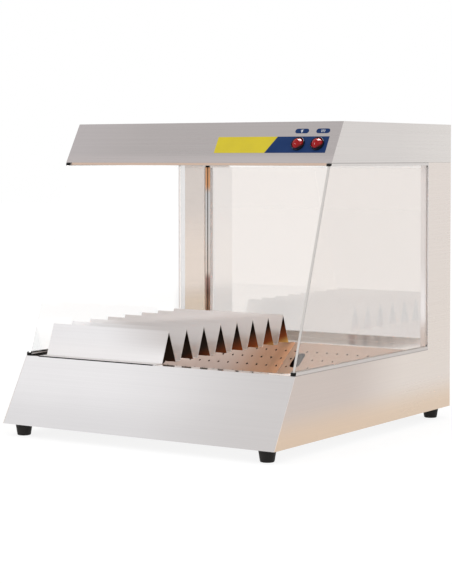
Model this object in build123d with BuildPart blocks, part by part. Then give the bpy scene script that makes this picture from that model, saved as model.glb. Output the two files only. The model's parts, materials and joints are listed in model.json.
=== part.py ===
"""Counter-top chip warmer: a heated base, a lamp hood on two columns and glass on three sides.

Frame: +X to the server's right when facing the open front, +Y to the back, +Z up.
The origin is the centre of the overall footprint, on the surface the feet stand on.
All lengths are in millimetres, angles in degrees.
"""

import os
from math import atan2, ceil, cos, degrees, floor, radians, sin, tan

from build123d import *

# ---------------------------------------------------------------- overall sizes
width = 577.0
depth = 647.0
base_height = 117.0
serving_height = 353.8
hood_height = 72.6
base_lean = 66.7
hood_setback = 186.0
hood_lean = 41.7
column_width = 20.0
column_depth = 94.5
rear_recess = 6.0

# ---------------------------------------------------------------- sheet, glass and fits
sheet = 1.2
rack_sheet = 1.0
pane = 5.0
touch_gap = 0.3
pane_gap = 0.6
drop_in_gap = 1.5
slip_gap = 0.05

# ---------------------------------------------------------------- feet
foot_height = 21.6
foot_top_d = 31.0
foot_bottom_d = 24.0
foot_inset_x = 29.0
foot_inset_y = 25.0
foot_recess_d = 12.0
foot_recess_depth = 10.0
foot_bore_d = 5.4
foot_screw_head = 3.0
foot_nut = 4.0

# ---------------------------------------------------------------- well in the deck
front_ledge = 20.3
side_ledge = 28.5
rear_ledge = 113.0
well_corner = 19.0
well_lip = 8.0
pan_margin = 4.0
pan_flange = 8.0
foot_return = 15.0
pan_clearance = 14.0

# ---------------------------------------------------------------- perforated drain plates
ramp_angle = 35.7
plate_depth = 67.0
seam_x = 10.0
plate_seam_gap = 0.6
hole_pitch = 22.4
hole_d = 4.6
hole_sides = 6
floor_hole_step = 3
finger_slot_width = 18.0
finger_slot_length = 42.0
finger_slot_from_edge = 25.8
finger_slot_rise = 64.0
rail_leg = 10.0

# ---------------------------------------------------------------- divider rack
ridge_count = 8
ridge_height = 56.8
ridge_base = 41.8
ridge_pitch = 55.4
rack_front_reach = 22.5
rack_rear_reach = 30.0
first_ridge_in = 4.5

# ---------------------------------------------------------------- glazing channels and seals
channel_width = 11.0
side_channel_bottom = 7.0
side_channel_top = 5.5
rear_channel_height = 11.0
seal_setback = 6.0
seal_below_lip = 0.6
glass_front_inset = 1.2

# ---------------------------------------------------------------- hood fittings
hood_lip_drop = 4.5
reflector_length = 430.0
reflector_mouth = 170.0
reflector_crown = 90.0
reflector_rise = 46.0
reflector_flange = 12.0
reflector_from_front = 300.0
lamp_d = 10.0
lamp_spacing = 78.0
lamp_holder_length = 26.0
lamp_holder_width = 18.0
lamp_holder_height = 30.0
lamp_holder_corner = 4.5
lamp_socket_depth = 12.0
guard_bar = 3.0
guard_bars = 9
guard_frame = 5.0

# ---------------------------------------------------------------- switches
switch_edge_inset = 39.5
switch_pitch = 39.0
switch_up_slope = 38.0
switch_barrel_d = 20.0
switch_bezel_d = 25.6
switch_bezel_height = 2.4
switch_bezel_edge = 1.0
switch_depth = 18.0
switch_mouth_d = 18.0
rocker_gap = 0.3
rocker_axis_depth = 1.6
rocker_valley = 7.0
rocker_wing_angle = 9.0
rocker_tail = 4.0
rocker_tail_room = 2.4
trunnion_d = 2.4
trunnion_reach = 0.7
blade_width = 6.3
blade_thickness = 0.8
blade_length = 8.0

# ---------------------------------------------------------------- base fittings
heater_d = 8.0
heater_legs = 2
heater_leg_pitch = 170.0
heater_half_length = 205.0
heater_bend = 60.0
heater_above_pan = 18.0
heater_tail = 14.0
bracket_width = 14.0
bracket_spacing = 260.0
bracket_foot = 12.0
cutout_d = 16.0
cutout_height = 9.0
cutout_ear_length = 32.0
cutout_ear_width = 8.0
terminal_size = (46.0, 20.0, 16.0)
terminal_poles = 3
terminal_well_d = 8.0
terminal_well_depth = 8.0
gland_inset = 83.5
gland_up = 52.0
gland_bore_d = 8.0
gland_body_d = 16.0
gland_head_d = 22.0
gland_head = 5.0
gland_tail = 12.0
gland_edge = 1.2
vent_length = 60.0
vent_width = 4.0
vent_pitch = 10.0
vent_rows = 4
vent_spread = 150.0
screw_head_d = 7.5
screw_head = 2.2
screw_shank_d = 4.0
screw_length = 7.0
screw_margin_x = 14.0
screw_margin_z = 18.0
floor_flange = 12.0

# ---------------------------------------------------------------- derived levels and lines
front = -depth / 2
back = depth / 2
half = width / 2
inner_half = half - sheet
base_z = foot_height
deck_z = base_z + base_height
hood_z = deck_z + serving_height
top_z = hood_z + hood_height
deck_front = front + base_lean
hood_front = front + hood_setback
column_front = back - column_depth
column_half = half - column_width
base_lean_angle = degrees(atan2(base_lean, base_height))
hood_lean_angle = degrees(atan2(hood_lean, hood_height))

well_half = half - side_ledge
well_front = deck_front + front_ledge
well_back = back - rear_ledge
well_mid = (well_front + well_back) / 2
rack_width = well_half
switch_xs = {"light": half - switch_edge_inset - switch_pitch, "heat": half - switch_edge_inset}
gland_x = half - gland_inset
well_length = well_back - well_front
pan_floor_z = base_z + pan_clearance
plate_floor_z = deck_z - plate_depth
glass_out = half - (channel_width - pane) / 2
glass_in = glass_out - pane

# a sloping sheet measured level: how thick it is, and how far its face moves over one sheet of height
base_wall = sheet / cos(radians(base_lean_angle))
base_step = sheet * tan(radians(base_lean_angle))
hood_wall = sheet / cos(radians(hood_lean_angle))
hood_step = sheet * tan(radians(hood_lean_angle))
top_return_back = well_front - pan_margin - pan_flange - touch_gap


def side_plane(x):
    """Sketch plane across the width: its x is the row's Y, its y is the row's Z."""
    return Plane(origin=(x, 0, 0), x_dir=(0, 1, 0), z_dir=(1, 0, 0))


def save(builder, name):
    """Label the finished piece and write it as one STEP file."""
    builder.part.label = name
    export_step(builder.part, f"parts/{name}.step")


def mirrored(source, side):
    """The right-hand piece as built, or its mirror image for the left side."""
    with BuildPart() as piece:
        add(source.part if side == "right" else source.part.mirror(Plane.YZ))
    return piece


os.makedirs("parts", exist_ok=True)

# ---------------------------------------------------------------- side panels: base side and column in one sheet
with BuildPart() as side_panel:
    with BuildSketch(side_plane(inner_half)):
        with BuildLine():
            Polyline(
                (front, base_z),
                (back, base_z),
                (back, hood_z),
                (column_front, hood_z),
                (column_front, deck_z),
                (deck_front, deck_z),
                close=True,
            )
        make_face()
    extrude(amount=sheet)
    with BuildSketch(Plane.XY.offset(base_z)):
        with Locations((inner_half, back)):
            Rectangle(column_width - sheet, sheet, align=(Align.MAX, Align.MAX))
    extrude(amount=hood_z - base_z)
    with BuildSketch(Plane.XY.offset(deck_z)):
        with Locations((inner_half, column_front)):
            Rectangle(inner_half - glass_out - touch_gap, sheet, align=(Align.MAX, Align.MIN))
    extrude(amount=serving_height)

for side in ("left", "right"):
    save(mirrored(side_panel, side), f"side_panel_{side}")

# ---------------------------------------------------------------- column liners: inner skin of each column
with BuildPart() as column_liner:
    with BuildSketch(Plane.XY.offset(deck_z)):
        with BuildLine():
            Polyline(
                (glass_in - touch_gap, column_front),
                (column_half, column_front),
                (column_half, back - sheet),
            )
            offset(amount=sheet, side=Side.RIGHT)
        make_face()
    extrude(amount=serving_height)

for side in ("left", "right"):
    save(mirrored(column_liner, side), f"column_liner_{side}")

# ---------------------------------------------------------------- base front panel: sloping face with a return at each end
with BuildPart() as base_front_panel:
    with BuildSketch(side_plane(-inner_half)):
        with BuildLine():
            Polyline(
                (front, base_z),
                (deck_front, deck_z),
                (deck_front + base_wall, deck_z),
                (deck_front + base_wall - base_step, deck_z - sheet),
                (top_return_back, deck_z - sheet),
                (top_return_back, deck_z - 2 * sheet),
                (deck_front + base_wall - 2 * base_step, deck_z - 2 * sheet),
                (front + base_wall + 2 * base_step, base_z + 2 * sheet),
                (front + foot_return, base_z + 2 * sheet),
                (front + foot_return, base_z + sheet),
                (front + base_wall + base_step, base_z + sheet),
                (front + base_wall, base_z),
                close=True,
            )
        make_face()
    extrude(amount=2 * inner_half)

save(base_front_panel, "base_front_panel")

# ---------------------------------------------------------------- deck plate: top of the base, with the rolled-down well mouth
with BuildPart() as deck_plate:
    with BuildSketch(Plane.XY.offset(deck_z - sheet)):
        with Locations((0, deck_front + base_wall)):
            Rectangle(
                2 * inner_half,
                back - sheet - deck_front - base_wall,
                align=(Align.CENTER, Align.MIN),
            )
        with Locations((0, back)):
            Rectangle(2 * column_half, 2 * sheet, align=(Align.CENTER, Align.MAX))
    extrude(amount=sheet)
    with BuildSketch(Plane.XY.offset(deck_z - well_lip)):
        with Locations((0, well_mid)):
            RectangleRounded(
                2 * (well_half + sheet), well_length + 2 * sheet, radius=well_corner + sheet
            )
    extrude(amount=well_lip)
    with BuildSketch(Plane.XY.offset(deck_z)):
        with Locations((0, well_mid)):
            RectangleRounded(2 * well_half, well_length, radius=well_corner)
    extrude(amount=-well_lip, mode=Mode.SUBTRACT)

save(deck_plate, "deck_plate")

# ---------------------------------------------------------------- well pan: closed tank hung under the deck
pan_half = well_half + pan_margin
pan_length = well_length + 2 * pan_margin
pan_corner = well_corner + pan_margin
heater_z = pan_floor_z + sheet + heater_above_pan
heater_ys = [well_mid + (leg - (heater_legs - 1) / 2) * heater_leg_pitch for leg in range(heater_legs)]
heater_tail_ys = (heater_ys[0], heater_ys[-1])

with BuildPart() as well_pan:
    with BuildSketch(Plane.XY.offset(deck_z - sheet)):
        with Locations((0, well_mid)):
            RectangleRounded(
                2 * (pan_half + pan_flange), pan_length + 2 * pan_flange, radius=pan_corner
            )
    extrude(amount=-sheet)
    with BuildSketch(Plane.XY.offset(deck_z - sheet)):
        with Locations((0, well_mid)):
            RectangleRounded(
                2 * (pan_half + sheet), pan_length + 2 * sheet, radius=pan_corner + sheet
            )
    extrude(amount=pan_floor_z - deck_z + sheet)
    with BuildSketch(Plane.XY.offset(deck_z - sheet)):
        with Locations((0, well_mid)):
            RectangleRounded(2 * pan_half, pan_length, radius=pan_corner)
    extrude(amount=pan_floor_z - deck_z + 2 * sheet, mode=Mode.SUBTRACT)
    with BuildSketch(side_plane(pan_half - sheet)):
        with Locations(*[(y, heater_z) for y in heater_tail_ys]):
            Circle(heater_d / 2 + slip_gap)
    extrude(amount=4 * sheet, mode=Mode.SUBTRACT)

save(well_pan, "well_pan")

# ---------------------------------------------------------------- rails that carry the drain plates
ramp_run = plate_depth / tan(radians(ramp_angle))
plate_front = well_front + drop_in_gap
plate_back = well_back - drop_in_gap
rail_ys = {
    "front": plate_front + ramp_run + rail_leg,
    "rear": plate_back - ramp_run - 2 * rail_leg,
}

for place, rail_y in rail_ys.items():
    with BuildPart() as plate_rail:
        with BuildSketch(side_plane(-pan_half)):
            with BuildLine():
                Polyline(
                    (rail_y, plate_floor_z - sheet - rail_leg),
                    (rail_y, plate_floor_z - sheet),
                    (rail_y + rail_leg, plate_floor_z - sheet),
                )
                offset(amount=sheet, side=Side.RIGHT)
            make_face()
        extrude(amount=2 * pan_half)
    save(plate_rail, f"plate_rail_{place}")

# ---------------------------------------------------------------- drain plates: ramp, floor and ramp in one perforated sheet
ramp_length = plate_depth / sin(radians(ramp_angle))
ramp_rows = int((ramp_length - hole_pitch / 2) // hole_pitch)
floor_length = plate_back - plate_front - 2 * ramp_run
well_outline_half = well_half - drop_in_gap
plate_edges = {
    "left": (-well_outline_half, seam_x - plate_seam_gap / 2),
    "right": (seam_x + plate_seam_gap / 2, well_outline_half),
}


def ramp_plane(foot_y, rising_back):
    """Plane on a ramp's upper face; its y runs up the ramp from the fold at the plate's floor."""
    lean = radians(ramp_angle)
    rise = (cos(lean), sin(lean)) if rising_back else (-cos(lean), sin(lean))
    across = (1, 0, 0) if rising_back else (-1, 0, 0)
    normal = Vector(*across).cross(Vector(0, *rise))
    return Plane(origin=(0, foot_y, plate_floor_z), x_dir=across, z_dir=normal)


def column_xs(low, high, step):
    """Hole columns between two edges, counted from half a pitch right of the seam."""
    start = ceil((low - seam_x) / hole_pitch) - 1
    stop = floor((high - seam_x) / hole_pitch) + 1
    xs = [seam_x + (n + 0.5) * hole_pitch for n in range(start, stop, step)]
    return [x for x in xs if low + hole_d < x < high - hole_d]


rear_fold = plate_back - ramp_run
front_fold = plate_front + ramp_run


def ramp_spots(low, high, step, slot_x=None):
    """Hole centres on a ramp, as (X, distance up the ramp), clear of a finger slot at slot_x."""
    spots = [
        (x, row * hole_pitch)
        for x in column_xs(low, high, step)
        for row in range(1, ramp_rows + 1)
    ]
    if slot_x is None:
        return spots
    clear_x = (finger_slot_width + hole_pitch) / 2 - hole_d
    clear_up = (finger_slot_length + hole_d) / 2
    return [
        (x, up) for x, up in spots if abs(x - slot_x) > clear_x or abs(up - finger_slot_rise) > clear_up
    ]


for side, (low_x, high_x) in plate_edges.items():
    slot_x = low_x + finger_slot_from_edge
    ramps = {
        "rear": (ramp_plane(rear_fold, True), ramp_spots(low_x, high_x, 1, slot_x)),
        "front": (ramp_plane(front_fold, False), ramp_spots(low_x, high_x, floor_hole_step)),
    }
    with BuildPart() as drain_plate:
        with BuildSketch(side_plane(low_x)):
            with BuildLine():
                Polyline(
                    (plate_front, deck_z),
                    (front_fold, plate_floor_z),
                    (rear_fold, plate_floor_z),
                    (plate_back, deck_z),
                )
                offset(amount=sheet, side=Side.RIGHT)
            make_face()
        extrude(amount=high_x - low_x)
        with BuildSketch(Plane.XY.offset(plate_floor_z - 2 * sheet)):
            with Locations((0, well_mid)):
                RectangleRounded(
                    2 * well_outline_half,
                    plate_back - plate_front,
                    radius=well_corner - drop_in_gap,
                )
        extrude(amount=plate_depth + 2 * sheet, mode=Mode.INTERSECT)
        for ramp, spots in ramps.values():
            with BuildSketch(ramp):
                with Locations(*[(x * ramp.x_dir.X, up) for x, up in spots]):
                    RegularPolygon(hole_d / 2, hole_sides)
            extrude(amount=-2 * sheet, mode=Mode.SUBTRACT)
        with BuildSketch(Plane.XY.offset(plate_floor_z)):
            floor_rows = int(floor_length // hole_pitch)
            floor_ys = [
                (row - (floor_rows - 1) / 2) * hole_pitch + well_mid
                for row in range(0, floor_rows, floor_hole_step)
            ]
            with Locations(*[(x, y) for x in column_xs(low_x, high_x, floor_hole_step) for y in floor_ys]):
                RegularPolygon(hole_d / 2, hole_sides)
        extrude(amount=-2 * sheet, mode=Mode.SUBTRACT)
        with BuildSketch(ramps["rear"][0]):
            with Locations((slot_x, finger_slot_rise)):
                SlotOverall(finger_slot_length, finger_slot_width, rotation=90)
        extrude(amount=-2 * sheet, mode=Mode.SUBTRACT)
    save(drain_plate, f"drain_plate_{side}")

# ---------------------------------------------------------------- divider rack: one sheet folded into hollow ridges
first_ridge = well_front + first_ridge_in
last_ridge = first_ridge + (ridge_count - 1) * ridge_pitch + ridge_base
rack_z = deck_z + rack_sheet
rack_line = [(first_ridge - rack_front_reach, rack_z)]
for ridge in range(ridge_count):
    foot = first_ridge + ridge * ridge_pitch
    rack_line += [
        (foot, rack_z),
        (foot + ridge_base / 2, rack_z + ridge_height - rack_sheet),
        (foot + ridge_base, rack_z),
    ]
rack_line.append((last_ridge + rack_rear_reach, rack_z))

with BuildPart() as divider_rack:
    with BuildSketch(side_plane(-rack_width)):
        with BuildLine():
            Polyline(*rack_line)
            offset(amount=rack_sheet, side=Side.RIGHT)
        make_face()
    extrude(amount=rack_width)

save(divider_rack, "divider_rack")

# ---------------------------------------------------------------- bottom plate with turned-up flanges
with BuildPart() as bottom_plate:
    with BuildSketch(Plane.XY.offset(base_z)):
        with Locations((0, front + base_wall + base_step)):
            Rectangle(
                2 * inner_half,
                back - sheet - front - base_wall - base_step,
                align=(Align.CENTER, Align.MIN),
            )
    extrude(amount=sheet)
    with BuildSketch(Plane.XY.offset(base_z + sheet)):
        with Locations((-inner_half, deck_front), (inner_half - sheet, deck_front)):
            Rectangle(sheet, back - rear_recess - 2 * sheet - deck_front, align=(Align.MIN, Align.MIN))
        with Locations((0, back - rear_recess - 2 * sheet)):
            Rectangle(2 * inner_half, sheet, align=(Align.CENTER, Align.MIN))
    extrude(amount=floor_flange)
    with Locations(
        *[
            (x * (half - foot_inset_x), y, base_z + sheet)
            for x in (-1, 1)
            for y in (front + foot_inset_y, back - foot_inset_y)
        ]
    ):
        Hole(foot_bore_d / 2, depth=sheet)

save(bottom_plate, "bottom_plate")

# ---------------------------------------------------------------- base rear panel, set back behind the side returns
panel_back = back - rear_recess


def back_plane(z):
    """Sketch plane on the recessed rear panels' outer face; cuts go inwards."""
    return Plane(origin=(0, panel_back, z), x_dir=(1, 0, 0), z_dir=(0, -1, 0))


def vent_spots(centres):
    """Centres of stacked vent slots, one stack at each given X."""
    return [
        (x, (row - (vent_rows - 1) / 2) * vent_pitch) for x in centres for row in range(vent_rows)
    ]


panel_screws = {
    "base": [
        (x * (column_half - screw_margin_x), z)
        for x in (-1, 1)
        for z in (base_z + screw_margin_z, deck_z - screw_margin_z)
    ],
    "hood": [
        (x * (column_half - screw_margin_x), z)
        for x in (-1, 1)
        for z in (hood_z + screw_margin_z, top_z - screw_margin_z)
    ],
}
gland_z = base_z + gland_up
base_mid_z = (base_z + deck_z) / 2
hood_mid_z = (hood_z + top_z) / 2

with BuildPart() as base_rear_panel:
    with BuildSketch(back_plane(base_mid_z)) as outline:
        Rectangle(2 * inner_half, base_height - 2 * sheet)
        with Locations(*vent_spots((-vent_spread, 0))):
            Rectangle(vent_length, vent_width, mode=Mode.SUBTRACT)
        with Locations((gland_x, gland_z - base_mid_z)):
            Circle(gland_body_d / 2, mode=Mode.SUBTRACT)
        with Locations(*[(x, z - base_mid_z) for x, z in panel_screws["base"]]):
            Circle(screw_shank_d / 2 + slip_gap, mode=Mode.SUBTRACT)
    extrude(amount=sheet)

save(base_rear_panel, "base_rear_panel")

# ---------------------------------------------------------------- hood shell: sloping front, top and both ends


def hood_inner_y(z):
    """Y of the hood front's inner face at a height."""
    return hood_front + hood_wall + (z - hood_z) * tan(radians(hood_lean_angle))


def hood_face(x):
    """Plane on the hood's sloping face, centred on a switch; its y runs up the slope."""
    lean = radians(hood_lean_angle)
    y = hood_front + switch_up_slope * sin(lean)
    z = hood_z + switch_up_slope * cos(lean)
    return Plane(origin=(x, y, z), x_dir=(1, 0, 0), z_dir=(0, -cos(lean), sin(lean)))


with BuildPart() as hood_shell:
    with BuildSketch(side_plane(-half)):
        with BuildLine():
            Polyline(
                (hood_front, hood_z),
                (hood_front + hood_lean, top_z),
                (back, top_z),
                (back, hood_z),
                close=True,
            )
        make_face()
    extrude(amount=width)
    with BuildSketch(side_plane(-inner_half)):
        with BuildLine():
            Polyline(
                (hood_inner_y(hood_z - sheet), hood_z - sheet),
                (hood_inner_y(top_z - sheet), top_z - sheet),
                (back + sheet, top_z - sheet),
                (back + sheet, hood_z - sheet),
                close=True,
            )
        make_face()
    extrude(amount=2 * inner_half, mode=Mode.SUBTRACT)
    for x in switch_xs.values():
        with BuildSketch(hood_face(x)):
            Circle(switch_barrel_d / 2 + slip_gap)
        extrude(amount=-2 * sheet, mode=Mode.SUBTRACT)

save(hood_shell, "hood_shell")

# ---------------------------------------------------------------- hood underpan: closes the hood and drops a lip in front
reflector_y = hood_front + (reflector_from_front - hood_setback) + reflector_mouth / 2
underpan_front = hood_inner_y(hood_z + sheet)
mouth_inner = reflector_mouth - 2 * sheet
mouth_length = reflector_length - 2 * sheet

with BuildPart() as hood_underpan:
    with BuildSketch(Plane.XY.offset(hood_z)):
        with Locations((0, underpan_front)):
            Rectangle(2 * inner_half, back - underpan_front, align=(Align.CENTER, Align.MIN))
        with Locations((0, reflector_y)):
            Rectangle(mouth_length, mouth_inner, mode=Mode.SUBTRACT)
    extrude(amount=sheet)
    with BuildSketch(Plane.XY.offset(hood_z)):
        with Locations((0, underpan_front)):
            Rectangle(
                2 * (half - channel_width - touch_gap), sheet, align=(Align.CENTER, Align.MIN)
            )
    extrude(amount=-hood_lip_drop)

save(hood_underpan, "hood_underpan")

# ---------------------------------------------------------------- lamp reflector: trough with closed ends and a rim
reflector_z = hood_z + sheet


def trough_section(x, inset):
    """The trough's section at X, drawn in by inset, open at the mouth."""
    with BuildSketch(side_plane(x)) as section:
        with BuildLine():
            Polyline(
                (reflector_y - reflector_mouth / 2 + inset, reflector_z),
                (reflector_y - reflector_crown / 2 + inset, reflector_z + reflector_rise - inset),
                (reflector_y + reflector_crown / 2 - inset, reflector_z + reflector_rise - inset),
                (reflector_y + reflector_mouth / 2 - inset, reflector_z),
                close=True,
            )
        make_face()
    return section.sketch


with BuildPart() as lamp_reflector:
    extrude(trough_section(-reflector_length / 2, 0), amount=reflector_length)
    with BuildSketch(Plane.XY.offset(reflector_z)):
        with Locations((0, reflector_y)):
            Rectangle(
                reflector_length + 2 * reflector_flange, reflector_mouth + 2 * reflector_flange
            )
    extrude(amount=sheet)
    extrude(trough_section(-mouth_length / 2, sheet), amount=mouth_length, mode=Mode.SUBTRACT)

save(lamp_reflector, "lamp_reflector")

# ---------------------------------------------------------------- quartz heat lamps in ceramic holders
lamp_z = reflector_z + reflector_rise / 2
holder_mouth = mouth_length / 2 - lamp_holder_length
lamp_half = holder_mouth + lamp_socket_depth

for place, across in (("front", -1), ("rear", 1)):
    lamp_y = reflector_y + across * lamp_spacing / 2
    with BuildPart() as heat_lamp:
        with BuildSketch(side_plane(-lamp_half)):
            with Locations((lamp_y, lamp_z)):
                Circle(lamp_d / 2)
        extrude(amount=2 * lamp_half)
    save(heat_lamp, f"heat_lamp_{place}")
    with BuildPart() as holder:
        with BuildSketch(side_plane(holder_mouth)):
            with Locations((lamp_y, lamp_z)):
                RectangleRounded(lamp_holder_width, lamp_holder_height, radius=lamp_holder_corner)
        extrude(amount=lamp_holder_length)
        with BuildSketch(side_plane(holder_mouth)):
            with Locations((lamp_y, lamp_z)):
                Circle(lamp_d / 2 + touch_gap)
        extrude(amount=lamp_socket_depth, mode=Mode.SUBTRACT)
    for side in ("left", "right"):
        save(mirrored(holder, side), f"lamp_holder_{place}_{side}")

# ---------------------------------------------------------------- lamp guard under the reflector's mouth
with BuildPart() as lamp_guard:
    with BuildSketch(Plane.XY.offset(hood_z)):
        with Locations((0, reflector_y)):
            Rectangle(mouth_length + 2 * guard_frame, mouth_inner + 2 * guard_frame)
            Rectangle(mouth_length, mouth_inner, mode=Mode.SUBTRACT)
    extrude(amount=-guard_bar)
    bar_xs = [((bar + 1) / (guard_bars + 1) - 0.5) * mouth_length for bar in range(guard_bars)]
    bar_end = Plane(
        origin=(0, reflector_y - mouth_inner / 2 - sheet, hood_z - guard_bar / 2),
        x_dir=(1, 0, 0),
        z_dir=(0, 1, 0),
    )
    with BuildSketch(bar_end):
        with Locations(*[(x, 0) for x in bar_xs]):
            RegularPolygon(guard_bar / 2, hole_sides)
    extrude(amount=mouth_inner + 2 * sheet)

save(lamp_guard, "lamp_guard")

# ---------------------------------------------------------------- hood rear panel
with BuildPart() as hood_rear_panel:
    with BuildSketch(back_plane(hood_mid_z)):
        Rectangle(2 * inner_half, hood_height - 2 * sheet)
        with Locations(*vent_spots((-vent_spread, vent_spread))):
            Rectangle(vent_length, vent_width, mode=Mode.SUBTRACT)
        with Locations(*[(x, z - hood_mid_z) for x, z in panel_screws["hood"]]):
            Circle(screw_shank_d / 2 + slip_gap, mode=Mode.SUBTRACT)
    extrude(amount=sheet)

save(hood_rear_panel, "hood_rear_panel")

# ---------------------------------------------------------------- screws of both rear panels
with BuildPart() as rear_panel_screws:
    spots = panel_screws["base"] + panel_screws["hood"]
    for x, z in spots:
        with BuildSketch(Plane(origin=(x, panel_back, z), x_dir=(1, 0, 0), z_dir=(0, 1, 0))):
            RegularPolygon(screw_head_d / 2, hole_sides)
        extrude(amount=screw_head)
        with BuildSketch(Plane(origin=(x, panel_back, z), x_dir=(1, 0, 0), z_dir=(0, -1, 0))):
            RegularPolygon(screw_shank_d / 2, hole_sides)
        extrude(amount=screw_length)

save(rear_panel_screws, "rear_panel_screws")

# ---------------------------------------------------------------- side glazing: channels, panes and their rubber seals
glass_low = deck_z + sheet + pane_gap
glass_high = hood_z - sheet - pane_gap
glass_back = column_front + seal_setback


def glass_edge_y(z):
    """Y of the exposed front edge of the side glazing at a height."""
    share = (z - deck_z) / serving_height
    return deck_front + glass_front_inset + share * (hood_front - deck_front)


def side_outline(x, low, high, front_inset, rear_y):
    """Face of the side glazing between two heights, cut to the sloping front edge."""
    with BuildSketch(side_plane(x)) as outline:
        with BuildLine():
            Polyline(
                (glass_edge_y(low) + front_inset, low),
                (rear_y, low),
                (rear_y, high),
                (glass_edge_y(high) + front_inset, high),
                close=True,
            )
        make_face()
    return outline.sketch


channel_in = half - channel_width
channel_spans = {
    "bottom": (deck_z, deck_z + side_channel_bottom, deck_z + sheet, deck_z + side_channel_bottom),
    "top": (hood_z - side_channel_top, hood_z, hood_z - side_channel_top, hood_z - sheet),
}
seal_spans = {
    "bottom": (deck_z + sheet, deck_z + side_channel_bottom - seal_below_lip),
    "top": (hood_z - side_channel_top + seal_below_lip, hood_z - sheet),
}

for place, (low, high, cavity_low, cavity_high) in channel_spans.items():
    with BuildPart() as channel:
        extrude(side_outline(channel_in, low, high, 0, column_front), amount=channel_width)
        extrude(
            side_outline(channel_in + sheet, cavity_low, cavity_high, -sheet, column_front + sheet),
            amount=channel_width - 2 * sheet,
            mode=Mode.SUBTRACT,
        )
    for side in ("left", "right"):
        save(mirrored(channel, side), f"side_channel_{place}_{side}")

with BuildPart() as side_glass:
    extrude(side_outline(glass_in, glass_low, glass_high, 0, glass_back), amount=pane)

with BuildPart() as side_seal:
    for low, high in seal_spans.values():
        extrude(
            side_outline(channel_in + sheet, low, high, seal_setback, column_front),
            amount=channel_width - 2 * sheet,
        )
    extrude(
        side_outline(glass_in, glass_low, glass_high, 0, glass_back),
        amount=pane,
        mode=Mode.SUBTRACT,
    )

for side in ("left", "right"):
    save(mirrored(side_glass, side), f"side_glass_{side}")
    save(mirrored(side_seal, side), f"side_seals_{side}")

# ---------------------------------------------------------------- rear glazing: four channels round one pane
rail_front = back - channel_width
rail_levels = {
    "bottom": (deck_z, deck_z + sheet, deck_z + rear_channel_height),
    "top": (hood_z - rear_channel_height, hood_z - rear_channel_height, hood_z - sheet),
}

for place, (low, cavity_low, cavity_high) in rail_levels.items():
    with BuildPart() as rail:
        with BuildSketch(side_plane(-column_half)):
            with Locations((rail_front, low)):
                Rectangle(channel_width, rear_channel_height, align=(Align.MIN, Align.MIN))
            with Locations((rail_front + sheet, cavity_low)):
                Rectangle(
                    channel_width - 2 * sheet,
                    cavity_high - cavity_low,
                    align=(Align.MIN, Align.MIN),
                    mode=Mode.SUBTRACT,
                )
        extrude(amount=2 * column_half)
    save(rail, f"rear_channel_{place}")

with BuildPart() as rear_post:
    with BuildSketch(Plane.XY.offset(deck_z + rear_channel_height)):
        with Locations((column_half, rail_front)):
            Rectangle(rear_channel_height, channel_width, align=(Align.MAX, Align.MIN))
        with Locations((column_half - sheet, rail_front + sheet)):
            Rectangle(
                rear_channel_height,
                channel_width - 2 * sheet,
                align=(Align.MAX, Align.MIN),
                mode=Mode.SUBTRACT,
            )
    extrude(amount=serving_height - 2 * rear_channel_height)

for side in ("left", "right"):
    save(mirrored(rear_post, side), f"rear_channel_{side}")

serving_mid_z = (deck_z + hood_z) / 2
pane_back = Plane(origin=(0, back - sheet, serving_mid_z), x_dir=(1, 0, 0), z_dir=(0, -1, 0))
pane_front = pane_back.offset(pane)

with BuildPart() as rear_glass:
    with BuildSketch(pane_back):
        Rectangle(2 * (column_half - sheet - pane_gap), serving_height - 2 * (sheet + pane_gap))
    extrude(amount=pane)

save(rear_glass, "rear_glass")

with BuildPart() as rear_seal:
    with BuildSketch(pane_front):
        Rectangle(2 * (column_half - sheet), serving_height - 2 * sheet)
        Rectangle(
            2 * (column_half - rear_channel_height + seal_below_lip),
            serving_height - 2 * (rear_channel_height - seal_below_lip),
            mode=Mode.SUBTRACT,
        )
    extrude(amount=channel_width - pane - 2 * sheet)

save(rear_seal, "rear_seal")

# ---------------------------------------------------------------- switches: body, cupped mouth and a domed rocker on trunnions
mouth_radius = switch_mouth_d / 2
rocker_radius = mouth_radius - rocker_gap
mouth_depth = rocker_axis_depth + rocker_tail + rocker_tail_room
trunnion_end = mouth_radius + trunnion_reach

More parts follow.
